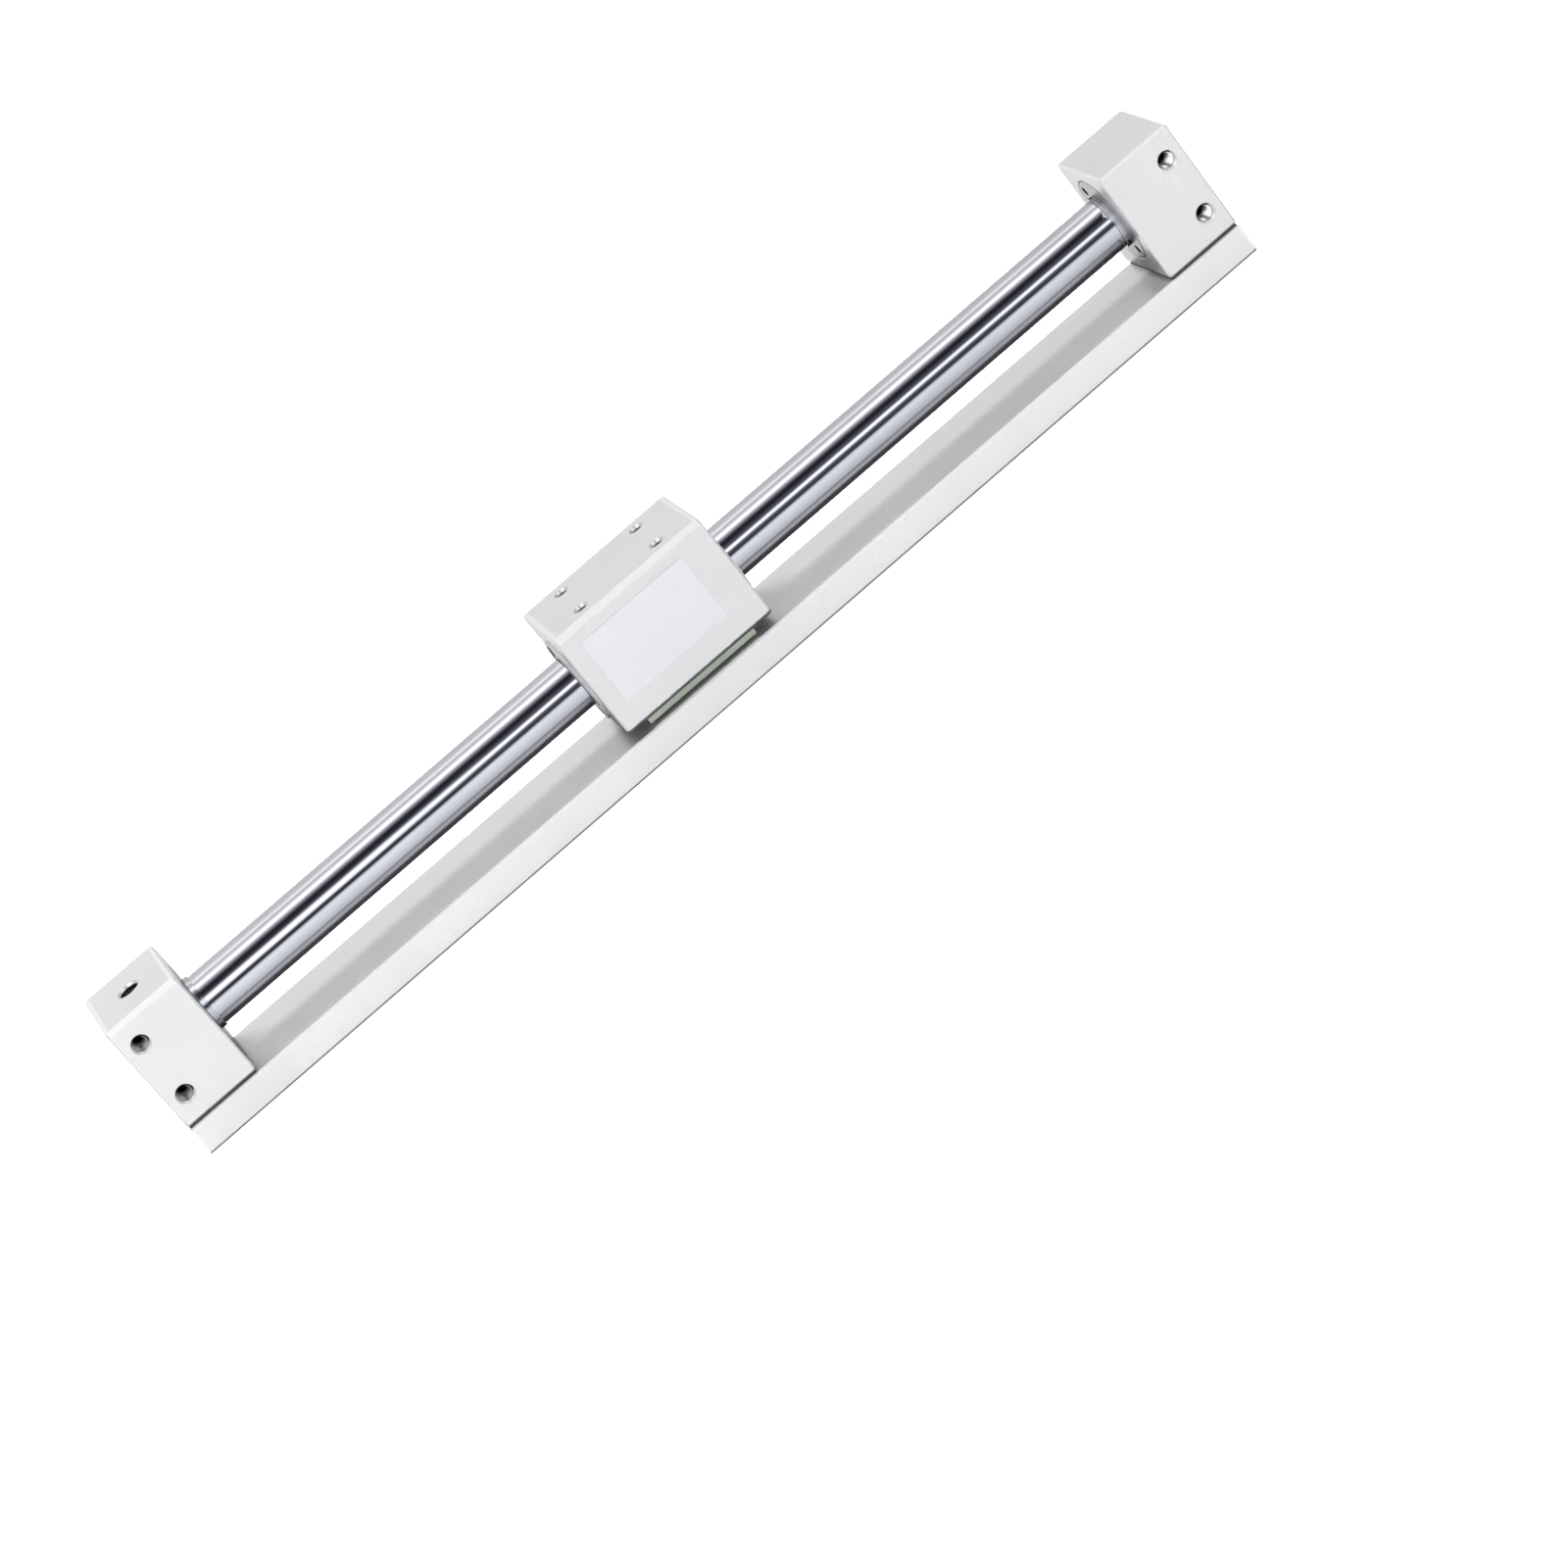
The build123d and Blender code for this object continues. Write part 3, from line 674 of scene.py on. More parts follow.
@dataclass(frozen=True)
class OiledFelt(Finish):
    """Pressed felt soaked with grease."""

    colour: Colour = (0.62, 0.58, 0.47)
    roughness: float = 0.62
    wet: Colour = (0.40, 0.36, 0.27)
    dry_to_wet_roughness: Span = (0.75, 0.4)
    fibre_scales: Span = (2200.0, 2000.0)
    fibre_depth: float = 0.06 * MM
    patch_scale: float = 300.0

    def wire(self, coat: Coat) -> None:
        """Wire crossing fibres and darker, wetter patches.

        Args:
            coat: Wiring of the material.
        """
        fibres = coat.math(
            "MAXIMUM",
            *(
                coat.noise(coat.vector("MULTIPLY", coat.position, stretch), scale, 4.0)
                for stretch, scale in zip(((1.0, 6.0, 1.0), (5.0, 1.0, 2.0)), self.fibre_scales)
            ),
        )
        patches = coat.remap(coat.noise(coat.position, self.patch_scale, 3.0), (0.4, 0.65))
        colour = coat.mix(patches, self.colour, self.wet)
        rough = coat.remap(patches, (0.0, 1.0), self.dry_to_wet_roughness)
        coat.lay(colour, rough, fibres, self.fibre_depth, 0.8)


@dataclass(frozen=True)
class PaperGround(Finish):
    """Seamless white paper under the object."""

    colour: Colour = (0.92, 0.92, 0.92)
    roughness: float = 0.9
    dark_tone: float = 0.985
    grain_scale: float = 700.0
    glow: float = 0.3
    glow_seen: float = 0.3

    def wire(self, coat: Coat) -> None:
        """Wire a faint paper grain, which the camera sees overexposed to white.

        Args:
            coat: Wiring of the material.
        """
        tone = coat.remap(coat.noise(coat.position, self.grain_scale, 3.0), (0.3, 0.7))
        colour = coat.mix(tone, self.toned(self.dark_tone), self.colour)
        seen = coat.node("LightPath").outputs["Is Camera Ray"]
        glow = coat.math("MULTIPLY_ADD", seen, self.glow_seen, self.glow)
        inputs = {"Emission Color": (*self.colour, 1.0), "Emission Strength": glow}
        coat.fill(coat.shader, {"Base Color": colour} | inputs)


class Stock:
    """The finishes that more than one piece takes, each made once."""

    _made: dict[str, Material] = {}
    finishes: dict[str, Finish] = {
        "scraper_ring": TurnedMetal(colour=(0.74, 0.74, 0.75), metallic=0.75, roughness=0.38),
        "piston_brass": TurnedMetal(colour=(0.76, 0.56, 0.24), metallic=1.0, roughness=0.26),
        "ground_shaft": TurnedMetal(
            colour=(0.68, 0.68, 0.70), metallic=1.0, roughness=0.22, pitch=0.05 * MM
        ),
        "nickel_spacer": TurnedMetal(
            colour=(0.68, 0.66, 0.61), metallic=1.0, roughness=0.25, pitch=0.2 * MM
        ),
        "rolled_yoke": PlatedSteel(colour=(0.42, 0.42, 0.42), tint=(0.36, 0.37, 0.39)),
        "nickel_magnet": PlatedSteel(
            colour=(0.60, 0.59, 0.57), tint=(0.52, 0.52, 0.53), roughness=0.24, crystal_scale=1400.0
        ),
        "phosphated_spring": PlatedSteel(colour=(0.30, 0.30, 0.31), tint=(0.24, 0.25, 0.27)),
        "bright_spring": TurnedMetal(
            colour=(0.72, 0.73, 0.78), metallic=1.0, roughness=0.12, depth=0.001 * MM
        ),
        "black_screw": PlatedSteel(
            colour=(0.055, 0.055, 0.06), tint=(0.08, 0.075, 0.07), roughness=0.42
        ),
        "zinc_screw": PlatedSteel(colour=(0.62, 0.63, 0.65), tint=(0.62, 0.60, 0.52)),
        "pale_chromate": PlatedSteel(
            colour=(0.43, 0.45, 0.40),
            tint=(0.37, 0.41, 0.34),
            roughness=0.4,
            metallic=0.6,
            # Painted light: the pieces around see the shield brighter than it is, in what they
            # mirror and bounce.
            mirror_gain=2.2,
        ),
        "nitrile_rubber": Grained(),
        "grey_urethane": Grained(colour=(0.10, 0.10, 0.11), bloom=(0.15, 0.15, 0.16)),
        "wear_resin": Grained(colour=(0.13, 0.12, 0.11), bloom=(0.20, 0.19, 0.17), roughness=0.45),
        "label_film": Grained(
            colour=(0.44232, 0.44717, 0.46172),
            roughness=0.32,
            slope=0.12,
            bloom=(0.456, 0.461, 0.476),
            bloom_tones=(0.35, 0.65),
            bloom_share=1.0,
            grain_scale=2600.0,
            grain_depth=0.01 * MM,
            strength=0.2,
        ),
        "oiled_felt": OiledFelt(),
        # Lit and shaded copies of one thread finish: a painted highlight on the bright one, painted
        # shade on the grey and the dark one.
        "lit_thread": TurnedMetal(colour=(0.88, 0.88, 0.88), metallic=0.9, roughness=0.2),
        "half_shade_thread": TurnedMetal(colour=(0.34, 0.34, 0.35), metallic=0.9, roughness=0.34),
        "full_shade_thread": TurnedMetal(colour=(0.05, 0.05, 0.055), metallic=0.6, roughness=0.4),
    }

    @classmethod
    def material(cls, name: str) -> Material:
        """Give a shared material, and make it the first time.

        Args:
            name: Name of the finish.

        Returns:
            The shared material.
        """
        if name not in cls._made:
            cls._made[name] = cls.finishes[name].material(name)
        return cls._made[name]


# --- Making and dressing pieces ---


def dress(node: str, finish: Material | str) -> Piece:
    """Give a CAD node its material.

    Args:
        node: Name of the CAD node.
        finish: The node's own material, or the name of a shared finish.

    Returns:
        The node's object.
    """
    material = Stock.material(finish) if isinstance(finish, str) else finish
    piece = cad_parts[node]
    if not piece.material_slots:
        piece.data.materials.append(material)
    for holder in piece.material_slots:
        holder.material = material
    return piece


def dress_sides(*finishes: tuple[str, str]) -> list[Piece]:
    """Dress the nodes that the part has once on the left and once on the right."""
    return [dress(f"{node}_{side}", finish) for side in SIDES for node, finish in finishes]


def dress_drive(stack: str) -> list[Piece]:
    """Dress one stack of the magnetic drive.

    Args:
        stack: Which stack, outer or inner.

    Returns:
        Its yokes and magnets.
    """
    counts = {"yoke": (5, "rolled_yoke"), "magnet": (4, "nickel_magnet")}
    return [
        dress(f"{stack}_{node}_{index}", finish)
        for node, (count, finish) in counts.items()
        for index in range(1, count + 1)
    ]


def linked(name: str, data: bpy.types.ID) -> Piece:
    """Put a mesh, a lamp or a camera into the scene.

    Args:
        name: Name of the new object.
        data: What the object shows.

    Returns:
        The new object.
    """
    made = bpy.data.objects.new(name, data)
    bpy.context.scene.collection.objects.link(made)
    return made


def object_from(mesh: bmesh.types.BMesh, name: str, material: Material) -> Piece:
    """Turn a finished bmesh into an object.

    Args:
        mesh: The object's mesh, in place; it is freed.
        name: Name of the object.
        material: Its finish.

    Returns:
        The new object.
    """
    data = bpy.data.meshes.new(name)
    mesh.to_mesh(data)
    mesh.free()
    data.materials.append(material)
    return linked(name, data)


def piece_from(mesh: bmesh.types.BMesh, name: str, body: str, material: Material) -> Piece:
    """Turn a finished bmesh into a piece that rides on a body."""
    bmesh.ops.recalc_face_normals(mesh, faces=mesh.faces[:])
    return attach(object_from(mesh, name, material), body)


class Thread(Enum):
    """Metric threads, as (pitch, height of the ridge in the tapped hole) in millimetres."""

    M3 = (0.5, 0.12)
    M4 = (0.7, 0.24)
    M5 = (0.8, 0.16)


@dataclass(frozen=True)
class TappedHole:
    """A tapped hole, which gets a helical ridge along its wall.

    The countersink and its lip of painted shade are shares of the hole's radius, and the half
    widths of the ridge's foot and crest are shares of the pitch.
    """

    mouth: Vector
    inward: Vector
    radius: float
    start: float
    end: float
    thread: Thread
    steps: int = 28
    countersink: float = 1.5
    shaded_lip: float = 1.15
    lip_start: float = 0.03 * MM
    lip_reach: float = 0.1 * MM
    foot: float = 0.28
    crest: float = 0.05
    rooted: float = 0.03 * MM

    def bore(self, start: float, reach: float) -> Bore:
        """Describe the hole's painted shade for the finish of the piece that it is in."""
        wide = self.radius * self.countersink
        return Bore(tuple(self.mouth), tuple(self.inward), wide, start, reach)

    def lip(self, shift: Vector) -> Bore:
        """Describe the part of the countersink that gets painted shade."""
        middle, wide = self.mouth + shift, self.radius * self.shaded_lip
        return Bore(tuple(middle), tuple(self.inward), wide, self.lip_start, self.lip_reach)

    def cut(self, mesh: bmesh.types.BMesh) -> None:
        """Add this hole's ridge to a mesh.

        Args:
            mesh: Mesh that takes the ridge.
        """
        pitch, ridge = (size * MM for size in self.thread.value)
        side = self.inward.orthogonal().normalized()
        wall, top = self.radius + self.rooted, self.radius - ridge
        foot, crest = self.foot, self.crest
        outline = ((wall, -foot), (top, -crest), (top, crest), (wall, foot))
        base = self.mouth + self.inward * (self.start + pitch / 2)
        points = [
            mesh.verts.new(base + side * reach + self.inward * (along * pitch))
            for reach, along in outline
        ]
        rim = [mesh.edges.new((a, b)) for a, b in zip(points, points[1:] + points[:1])]
        turns = int((self.end - self.start) / pitch) - 1
        count = turns * self.steps
        swept = bmesh.ops.spin(
            mesh,
            geom=points + rim,
            cent=base,
            axis=self.inward,
            dvec=self.inward * (pitch / self.steps),
            angle=math.tau * turns,
            steps=count,
            use_merge=False,
        )
        bmesh.ops.contextual_create(mesh, geom=rim)
        last = [part for part in swept["geom_last"] if isinstance(part, bmesh.types.BMEdge)]
        bmesh.ops.contextual_create(mesh, geom=last)


def thread_piece(name: str, body: str, holes: list[TappedHole], finish: str) -> Piece:
    """Make the ridges of a group of tapped holes as one piece.

    Args:
        name: Name of the piece.
        body: Body that has the holes.
        holes: The tapped holes.
        finish: Name of the ridges' finish.

    Returns:
        The new piece.
    """
    mesh = bmesh.new()
    for hole in holes:
        hole.cut(mesh)
    return piece_from(mesh, name, body, Stock.material(finish))


def aluminium(node: str, **changes: object) -> Material:
    """Make blasted aluminium that knows where its CAD node's edges are."""
    low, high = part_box(node)
    return BlastedAluminium(low=tuple(low), high=tuple(high), **changes).material(f"{node}_finish")


# --- Sub-assemblies ---


@dataclass
class Rail:
    """The flat rail, its screws and the gasket sheets under the end plates."""

    colour: Colour = (0.785, 0.785, 0.785)
    metallic: float = 0.8

    def build(self) -> list[Piece]:
        """Dress the rail and what is fixed to it.

        Returns:
            The dressed nodes.
        """
        rail = aluminium(
            "switch_rail",
            colour=self.colour,
            metallic=self.metallic,
            # Painted shade: the pieces around see the back of the rail nearly black, in what they
            # mirror and bounce; its lower chamfers get painted shade too.
            mirror_gain_behind=0.08,
            under_share=0.5,
        )
        fixed = dress("switch_rail", rail), dress("rail_screws", "black_screw")
        return [*fixed, *dress_sides(("rail_gasket", "nitrile_rubber"))]


@dataclass
class EndPlate:
    """One end plate with its lock ring, tube gasket, mounting threads and air port.

    Each painted shade in a hole is given as the depth at which it begins and the further depth
    over which it grows full. The lip's painted shade shifts away from the plate's outer end, and
    up.
    """

    side: str
    outward: int
    mount_inset: float = 4.15 * MM
    mount_pitch: float = 14.0 * MM
    mount_drop: float = 0.6 * MM
    mount_radius: float = 1.65 * MM
    mount_depth: float = 6.4 * MM
    port_radius: float = 2.1 * MM
    port_depth: float = 5.9 * MM
    mount_shade: Span = (2.8 * MM, 0.8 * MM)
    port_shade: Span = (0.35 * MM, 0.2 * MM)
    lip_shift: Span = (0.3 * MM, 0.7 * MM)
    sink: float = 0.62 * MM
    axis_height: float = 21.0 * MM
    roof_width: float = 0.45 * MM
    thread_finish: str = "lit_thread"
    colour: Colour = (0.72, 0.72, 0.72)
    edge_colour: Colour = (0.84, 0.84, 0.84)
    spanner_angle: float = 60.0
    spanner_reach: float = 8.1 * MM
    spanner_radius: float = 1.2 * MM

    def build(self) -> list[Piece]:
        """Dress the plate and thread its holes.

        Returns:
            The dressed nodes and the added thread ridges.
        """
        node = f"end_plate_{self.side}"
        port = self.port()
        mounts = self.mount_holes()
        inwards, up = self.lip_shift
        shift = Vector((-inwards * self.outward, 0, up))
        plate = aluminium(
            node,
            colour=self.colour,
            edge_colour=self.edge_colour,
            roof_width=self.roof_width,
            bores=(
                *(hole.bore(*self.mount_shade) for hole in mounts),
                *(hole.lip(shift) for hole in mounts),
                port.bore(*self.port_shade),
            ),
        )
        ring = TurnedMetal(colour=(0.60, 0.60, 0.60), metallic=0.95, bores=self.spanner_holes())
        return [
            dress(node, plate),
            dress(f"lock_ring_{self.side}", ring.material(f"lock_ring_{self.side}_finish")),
            dress(f"tube_gasket_{self.side}", "nitrile_rubber"),
            thread_piece(f"mount_threads_{self.side}", "frame", mounts, self.thread_finish),
            thread_piece(f"port_thread_{self.side}", "frame", [port], "full_shade_thread"),
        ]

    def spanner_holes(self) -> tuple[Bore, ...]:
        """Place the painted shade of the two blind holes in the lock ring.

        Returns:
            The two holes.
        """
        low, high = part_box(f"lock_ring_{self.side}")
        x = low.x if self.outward > 0 else high.x
        turn = math.radians(self.spanner_angle)
        across, up = (self.spanner_reach * part for part in (math.cos(turn), math.sin(turn)))
        return tuple(
            Bore(
                (x, way * across, self.axis_height + way * up),
                (float(self.outward), 0.0, 0.0),
                self.spanner_radius,
            )
            for way in (-1, 1)
        )

    def mount_holes(self) -> list[TappedHole]:
        """Place the two mounting threads on the front.

        Returns:
            The two tapped holes.
        """
        low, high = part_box(f"end_plate_{self.side}")
        x = (high.x - self.mount_inset) if self.outward > 0 else (low.x + self.mount_inset)
        middle = self.axis_height - self.mount_drop
        sizes = (self.mount_radius, self.sink, self.mount_depth, Thread.M4)
        mouths = ((x, low.y, middle + row * self.mount_pitch / 2) for row in (-1, 1))
        return [TappedHole(Vector(mouth), Vector((0, 1, 0)), *sizes) for mouth in mouths]

    def port(self) -> TappedHole:
        """Place the air port: in the top of the left plate, in the end of the right one.

        Returns:
            The port's tapped hole.
        """
        low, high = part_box(f"end_plate_{self.side}")
        if self.outward < 0:
            mouth, inward = Vector(((low.x + high.x) / 2, 0, high.z)), Vector((0, 0, -1))
        else:
            mouth, inward = Vector((high.x, 0, self.axis_height)), Vector((-1, 0, 0))
        return TappedHole(mouth, inward, self.port_radius, self.sink, self.port_depth, Thread.M5)


@dataclass
class Tube:
    """The polished tube and the spring ring at each of its ends."""

    finish: PolishedTube = PolishedTube()

    def build(self) -> list[Piece]:
        """Dress the tube and its rings."""
        tube = dress("cylinder_tube", self.finish.material("polished_tube"))
        return [tube, *dress_sides(("tube_snap_ring", "bright_spring"))]


@dataclass
class Slider:
    """The slider: block, scrapers, rings, magnets and yokes, shield and bare label."""

    label_width: float = 26.5 * MM
    label_height: float = 15.8 * MM
    label_from_left: float = 3.9 * MM
    label_below_top: float = 3.8 * MM
    label_thickness: float = 0.08 * MM
    label_corner: float = 0.7 * MM
    hole_pitch_x: float = 20.0 * MM
    hole_pitch_y: float = 15.0 * MM
    hole_radius: float = 1.25 * MM
    hole_depth: float = 4.4 * MM
    hole_shade: Span = (1.05 * MM, 0.2 * MM)
    sink: float = 1.1 * MM
    sided: Finishes = (
        ("scraper", "scraper_ring"),
        ("slider_retaining_ring", "phosphated_spring"),
        ("slider_wear_ring", "wear_resin"),
        ("lube_retainer", "oiled_felt"),
        ("spacer", "nickel_spacer"),
    )

    def build(self) -> list[Piece]:
        """Dress the slider, thread its top holes and lay the label on it.

        Returns:
            The dressed nodes and the added pieces.
        """
        holes = self.top_holes()
        block = aluminium(
            "slider_body",
            colour=(0.69, 0.69, 0.69),
            # Painted shade: dark holes, a slider that the pieces around see dark so the gaps under
            # it stay dark, and dark lower chamfers.
            bore_colour=(0.10, 0.10, 0.105),
            mirror_gain=0.15,
            mirror_gain_behind=0.15,
            under_share=0.85,
            edge_colour=(0.78, 0.78, 0.78),
            floor_width=0.8 * MM,
            bores=tuple(hole.bore(*self.hole_shade) for hole in holes),
            edge_width=0.4 * MM,
            roof_width=1.0 * MM,
        )
        return [
            dress("slider_body", block),
            *dress_sides(*self.sided),
            *dress_drive("outer"),
            dress("shield_plate", "pale_chromate"),
            dress("shield_screws", "zinc_screw"),
            dress("switch_magnet", "nickel_magnet"),
            thread_piece("slider_top_threads", "slider", holes, "full_shade_thread"),
            self.label(),
        ]

    def top_holes(self) -> list[TappedHole]:
        """Place the four tapped holes in the slider's top.

        Returns:
            The four holes.
        """
        low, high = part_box("slider_body")
        middle = (low.x + high.x) / 2
        sizes = (self.hole_radius, self.sink, self.hole_depth, Thread.M3)
        mouths = (
            (middle + column * self.hole_pitch_x / 2, row * self.hole_pitch_y / 2, high.z)
            for column in (-1, 1)
            for row in (-1, 1)
        )
        return [TappedHole(Vector(mouth), Vector((0, 0, -1)), *sizes) for mouth in mouths]

    def label(self) -> Piece:
        """Lay the bare label on the slider's front.

        Returns:
            The label.
        """
        low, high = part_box("slider_body")
        mesh = bmesh.new()
        bmesh.ops.create_grid(mesh, x_segments=1, y_segments=1, size=0.5)
        bmesh.ops.scale(mesh, vec=(self.label_width, self.label_height, 1), verts=mesh.verts)
        bmesh.ops.bevel(
            mesh,
            geom=mesh.verts[:],
            offset=self.label_corner,
            offset_type="OFFSET",
            segments=6,
            profile=0.5,
            affect="VERTICES",
            material=-1,
        )
        raised = bmesh.ops.extrude_face_region(mesh, geom=mesh.faces[:])
        top = [part for part in raised["geom"] if isinstance(part, bmesh.types.BMVert)]
        bmesh.ops.translate(mesh, vec=(0, 0, self.label_thickness), verts=top)
        bmesh.ops.rotate(mesh, matrix=Matrix.Rotation(math.pi / 2, 3, "X"), verts=mesh.verts)
        place = Vector(
            (
                low.x + self.label_from_left + self.label_width / 2,
                low.y,
                high.z - self.label_below_top - self.label_height / 2,
            )
        )
        bmesh.ops.translate(mesh, vec=place, verts=mesh.verts)
        return piece_from(mesh, "blank_label", "slider", Stock.material("label_film"))


@dataclass
class Piston:
    """Everything that slides inside the tube."""

    sided: Finishes = (
        ("piston", "piston_brass"),
        ("piston_seal", "nitrile_rubber"),
        ("piston_wear_ring", "wear_resin"),
        ("piston_nut", "zinc_screw"),
        ("piston_bumper", "grey_urethane"),
    )

    def build(self) -> list[Piece]:
        """Dress the piston's pieces."""
        shaft = dress("piston_shaft", "ground_shaft")
        return [shaft, *dress_sides(*self.sided), *dress_drive("inner")]


# --- Studio ---


@dataclass(frozen=True)
class SoftLight:
    """A square soft light that is aimed at a point."""

    name: str
    place: Vector
    target: Vector
    size: float
    power: float

    def build(self) -> None:
        """Add the light; the metal mirrors the studio around it, and not the lamp itself."""
        data = bpy.data.lights.new(self.name, "AREA")
        data.shape = "SQUARE"
        data.size = self.size
        data.energy = self.power
        lamp = linked(self.name, data)
        lamp.location = self.place
        lamp.rotation_mode = "QUATERNION"
        lamp.rotation_quaternion = (self.target - self.place).to_track_quat("-Z", "Y")
        lamp.visible_glossy = False


@dataclass
class Studio:
    """Camera, lights, surroundings and ground, as in a plain product studio.

    Spans without a unit are parts of the direction that a ray comes from: X to the right and
    Y to the back. Elevations are in degrees.
    """

    focal_length: float = 118.27
    sensor_width: float = 36.0
    camera_place: Point = (-85.6 * MM, -979.3 * MM, 371.9 * MM)
    camera_right: Point = (0.75307, -0.30091, -0.58509)
    camera_down: Point = (-0.65332, -0.23683, -0.71909)
    paper_half: float = 6.0
    paper_drop: float = 0.02 * MM
    aim: Point = (0.0, 0.0, 15 * MM)
    ambient: float = 2.6
    cool: Colour = (0.965, 0.98, 1.0)
    warm: Colour = (1.0, 0.995, 0.985)
    dusk: Colour = (0.86, 0.87, 1.18)
    at_ends: Span = (0.70, 0.25)
    ends_span: Span = (0.6, 0.85)
    ends_depth: Span = (-0.1, 0.3)
    tint_depth: Span = (-0.5, 0.5)
    dusk_levels: Span = (0.01, 0.05)
    fade_span: Span = (-0.05, 0.25)
    fade: Span = (1.06, 0.94)
    tube_x: float = 0.085
    tube_span: Span = (0.16, 0.38)
    taper_elevation: float = 22.5
    taper_rise: Span = (2.5, 9.5)
    taper_fall: Span = (17.0, 23.0)
    taper_begin: Span = (0.005, 0.05)
    taper_share: float = 0.85
    taper_light: float = 0.03

    # Brightness of the studio by elevation: 0 is the horizon in front, 90 overhead and 180 the
    # horizon behind, so soft boxes and the dark gaps between them run along the tube.
    middle_steps: tuple[Span, ...] = (
        (-180, 0.55), (-160, 0.80), (-138, 0.04), (-95, 0.08), (-63, 0.55), (-30, 0.86),
        (-17, 0.97), (-11, 0.92), (-6, 0.49), (-2, 0.10), (1, 0.035), (5, 0.035),
        (8.5, 0.12), (11.5, 0.42), (16, 1.22), (28, 1.40), (33.5, 0.50), (38, 0.12),
        (42, 0.05), (54, 0.015), (59, 0.04), (65, 0.16), (72, 0.43), (80, 1.08),
        (83, 1.60), (89, 1.60), (94, 1.00), (105, 0.52), (117, 1.10), (133, 0.68),
        (152, 0.61), (180, 0.62),
    )

    # The same for directions well to the left and right, which the tube doesn't mirror towards
    # the camera: large even panels that light the satin faces.
    side_steps: tuple[Span, ...] = (
        (-180, 0.60), (-155, 0.95), (-130, 0.12), (-105, 0.14), (-75, 0.55), (-40, 1.66),
        (10, 1.62), (45, 1.56), (68, 1.75), (80, 1.10), (95, 0.50), (120, 0.50),
        (148, 0.66), (166, 0.62), (180, 0.60),
    )

    def build(self) -> None:
        """Set up the whole studio."""
        self.camera()
        self.ground()
        self.surroundings()
        self.lights()
        bpy.context.scene.view_settings.view_transform = "Standard"

    def camera(self) -> None:
        """Place the camera where the picture was taken from."""
        data = bpy.data.cameras.new("studio_camera")
        data.lens = self.focal_length
        data.sensor_width = self.sensor_width
        data.clip_start, data.clip_end = 0.01, 50.0
        camera = linked("studio_camera", data)
        right = Vector(self.camera_right).normalized()
        up = -Vector(self.camera_down).normalized()
        back = right.cross(up).normalized()
        turn = Matrix((right, back.cross(right), back)).transposed()
        camera.matrix_world = Matrix.Translation(self.camera_place) @ turn.to_4x4()
        bpy.context.scene.camera = camera

    def ground(self) -> None:
        """Lay the paper that the rail stands on."""
        mesh = bmesh.new()
        bmesh.ops.create_grid(mesh, x_segments=8, y_segments=8, size=self.paper_half)
        bmesh.ops.translate(mesh, vec=(0, 0, -self.paper_drop), verts=mesh.verts)
        ground = object_from(mesh, "paper_ground", PaperGround().material("paper_ground"))
        ground.visible_glossy = False

    def surroundings(self) -> None:
        """Wire the studio that the metal mirrors; the camera itself sees plain paper white."""
        world = bpy.data.worlds.new("studio")
        bpy.context.scene.world = world
        world.use_nodes = True
        world.node_tree.nodes.clear()
        wiring = Wiring(world.node_tree)
        direction = wiring.node("TexCoord").outputs["Generated"]
        x, y, z = wiring.node("SeparateXYZ", {0: direction}).outputs
        angle = wiring.math("ARCTAN2", z, wiring.math("MULTIPLY", y, -1.0))
        turn = wiring.math("MULTIPLY_ADD", angle, 1 / math.tau, 0.5)
        middle, beside = (
            self.ramp(wiring, turn, steps) for steps in (self.middle_steps, self.side_steps)
        )
        aside = wiring.math("ABSOLUTE", wiring.math("SUBTRACT", x, self.tube_x))
        tapered = wiring.mix(self.taper(wiring, turn, x), middle, (self.taper_light,) * 3)
        bands = wiring.mix(wiring.remap(aside, self.tube_span), tapered, beside)
        ends = wiring.remap(wiring.math("ABSOLUTE", x), self.ends_span)
        lit, unlit = ((light / self.ambient,) * 3 for light in self.at_ends)
        at_ends = wiring.mix(wiring.remap(y, self.ends_depth), lit, unlit)
        bands = wiring.mix(ends, bands, at_ends)
        tint = wiring.mix(wiring.remap(y, self.tint_depth), self.cool, self.warm)
        dim = wiring.remap(bands, self.dusk_levels, (1.0, 0.0))
        tint = wiring.mix(dim, tint, self.dusk)
        fade = wiring.remap(x, self.fade_span, self.fade)
        around = wiring.vector("MULTIPLY", wiring.vector("MULTIPLY", bands, tint), fade)
        seen = wiring.node("LightPath").outputs["Is Camera Ray"]
        studio = wiring.node("Background", {"Color": around, "Strength": self.ambient})
        paper = wiring.node("Background", {"Color": (1.0, 1.0, 1.0, 1.0), "Strength": 1.0})
        both = wiring.node("MixShader", {0: seen, 1: studio.outputs[0], 2: paper.outputs[0]})
        wiring.node("OutputWorld", {"Surface": both.outputs[0]})

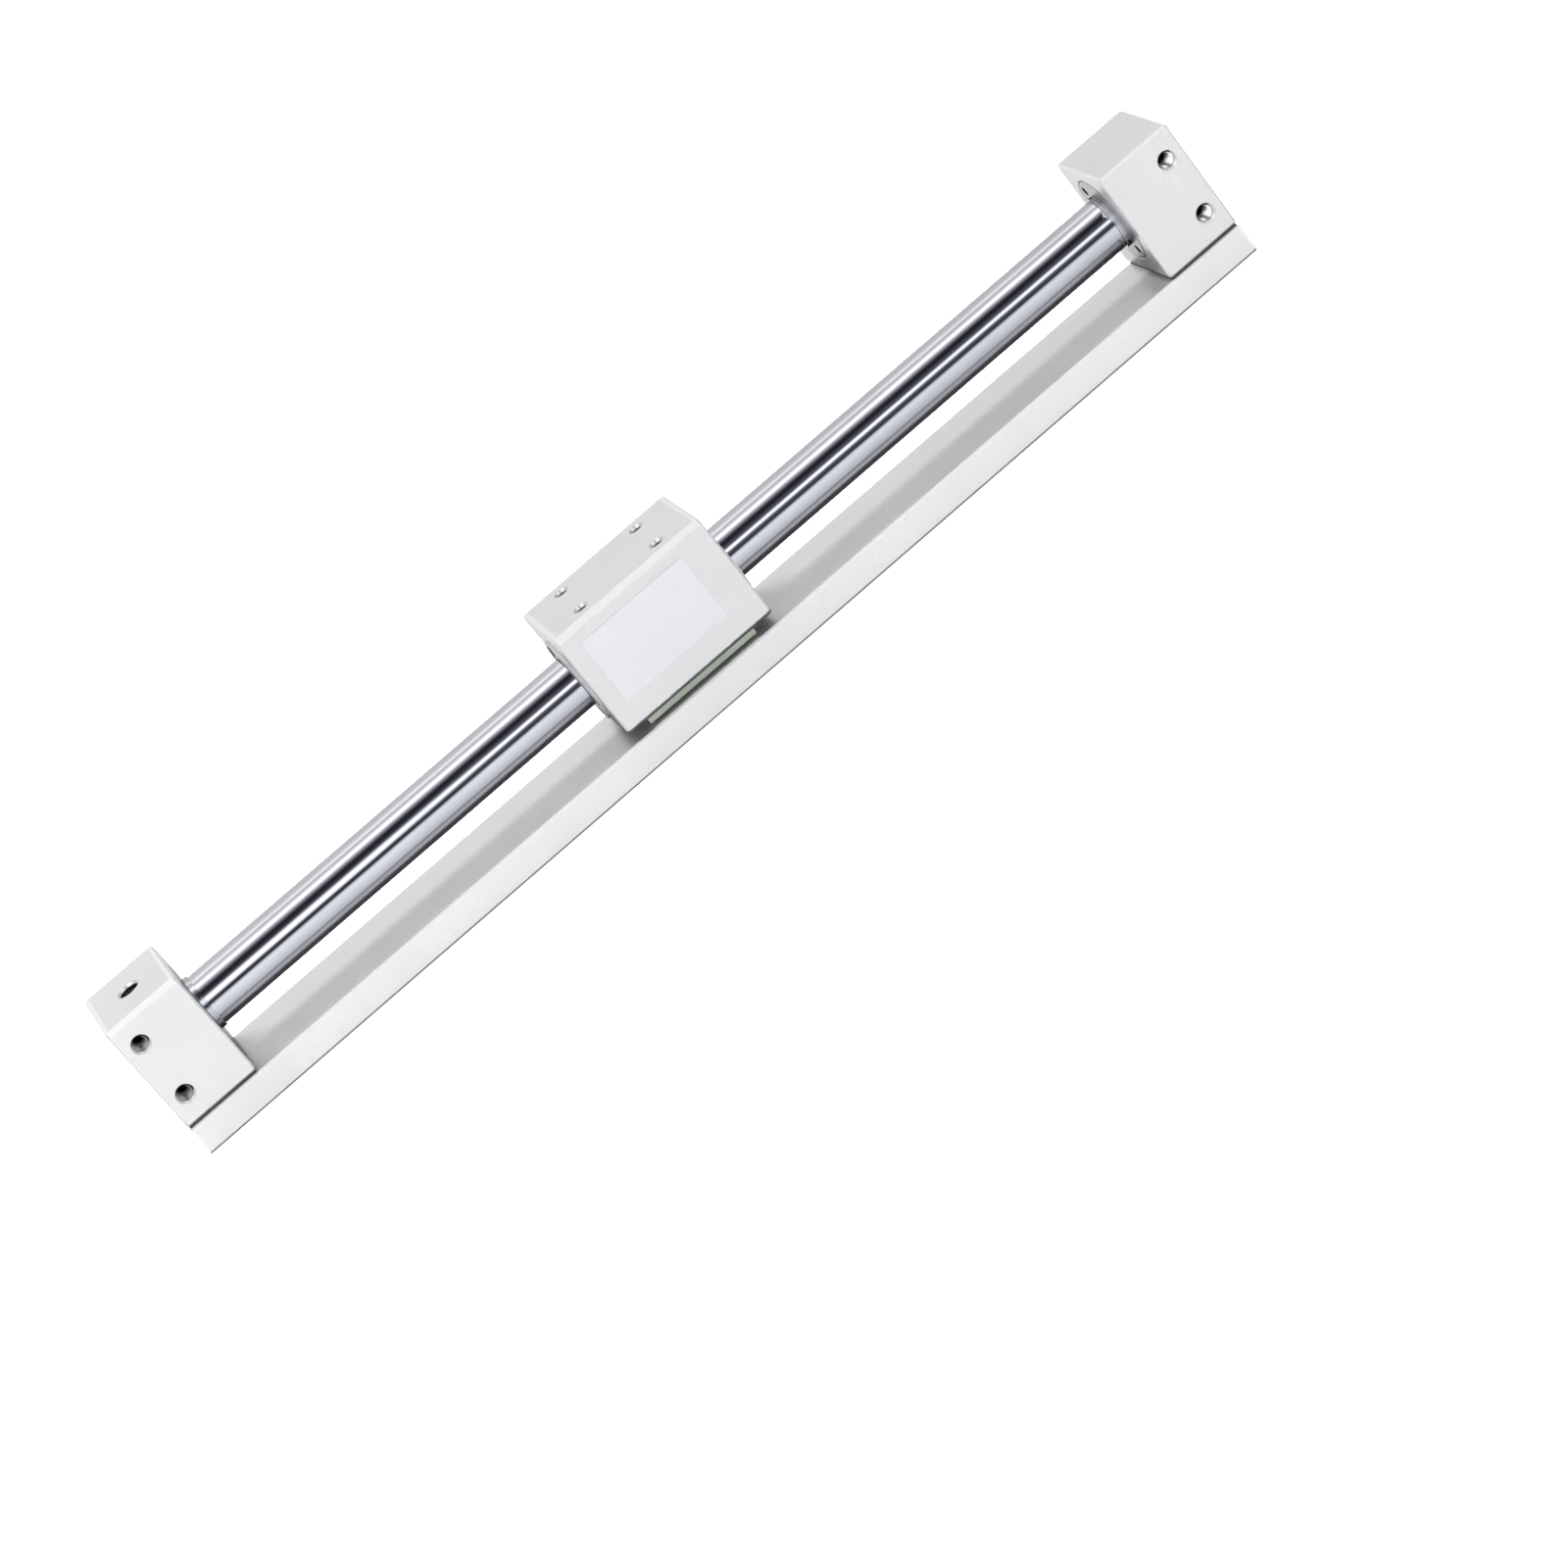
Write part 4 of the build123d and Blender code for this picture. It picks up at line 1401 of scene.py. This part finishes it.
    def taper(self, wiring: Wiring, turn: Socket, x: Socket) -> Socket:
        """Narrow the front soft box towards the right, as the tube mirrors it.

        Args:
            wiring: Wiring of the world.
            turn: Elevation, from 0 at -180 degrees to 1 at 180 degrees.
            x: How far the direction points to the right.

        Returns:
            Share of the dark surroundings beside the soft box.
        """
        middle = 0.5 + self.taper_elevation / 360
        from_middle = wiring.math("ABSOLUTE", wiring.math("SUBTRACT", turn, middle))
        near, far = (
            tuple(degrees / 360 for degrees in span) for span in (self.taper_rise, self.taper_fall)
        )
        rise = wiring.remap(from_middle, near)
        fall = wiring.remap(from_middle, far, (1.0, 0.0))
        begin = wiring.remap(x, self.taper_begin, (0.0, self.taper_share))
        return wiring.math("MULTIPLY", begin, wiring.math("MULTIPLY", rise, fall))

    def ramp(self, wiring: Wiring, turn: Socket, steps: tuple[Span, ...]) -> Socket:
        """Wire a ramp of brightness over elevation.

        Args:
            wiring: Wiring of the world.
            turn: Elevation, from 0 at -180 degrees to 1 at 180 degrees.
            steps: Elevation in degrees and brightness of each stop.

        Returns:
            The brightness as a grey, as a share of the world's strength.
        """
        ramp = wiring.node("ValToRGB", {0: turn})
        stops = ramp.color_ramp.elements
        while len(stops) > 1:
            stops.remove(stops[-1])
        for index, (degrees, light) in enumerate(steps):
            where = (degrees + 180.0) / 360.0
            stop = stops[0] if index == 0 else stops.new(where)
            stop.position = where
            stop.color = (*(light / self.ambient,) * 3, 1.0)
        return ramp.outputs[0]

    def lights(self) -> None:
        """Hang the soft lights."""
        for name, place, size, power in (
            ("key_light", (-0.35, -1.1, 1.2), 0.9, 5.0),
            ("back_light", (-0.4, 0.56, 1.38), 0.45, 38.0),
            ("front_fill", (0.25, -1.4, 0.35), 1.0, 3.0),
        ):
            SoftLight(name, Vector(place), Vector(self.aim), size, power).build()


def main() -> None:
    """Build the studio and each sub-assembly in order, and report every piece."""
    logging.basicConfig(level=logging.INFO, format="%(message)s")
    Studio().build()
    assemblies = {
        "rail": Rail(),
        # The two plates are one part: the left one has a wider painted highlight along its roof and
        # half-shaded threads, and the right one is a darker, shaded copy with a dimmer painted
        # highlight.
        "left end": EndPlate("left", -1, roof_width=0.85 * MM, thread_finish="half_shade_thread"),
        "right end": EndPlate("right", 1, colour=(0.70,) * 3, edge_colour=(0.78,) * 3),
        "tube": Tube(),
        "slider": Slider(),
        "piston": Piston(),
    }
    for title, assembly in assemblies.items():
        for piece in assembly.build():
            log.info("%s: %s, %d faces", title, piece.name, len(piece.data.polygons))


if __name__ == "__main__":
    main()
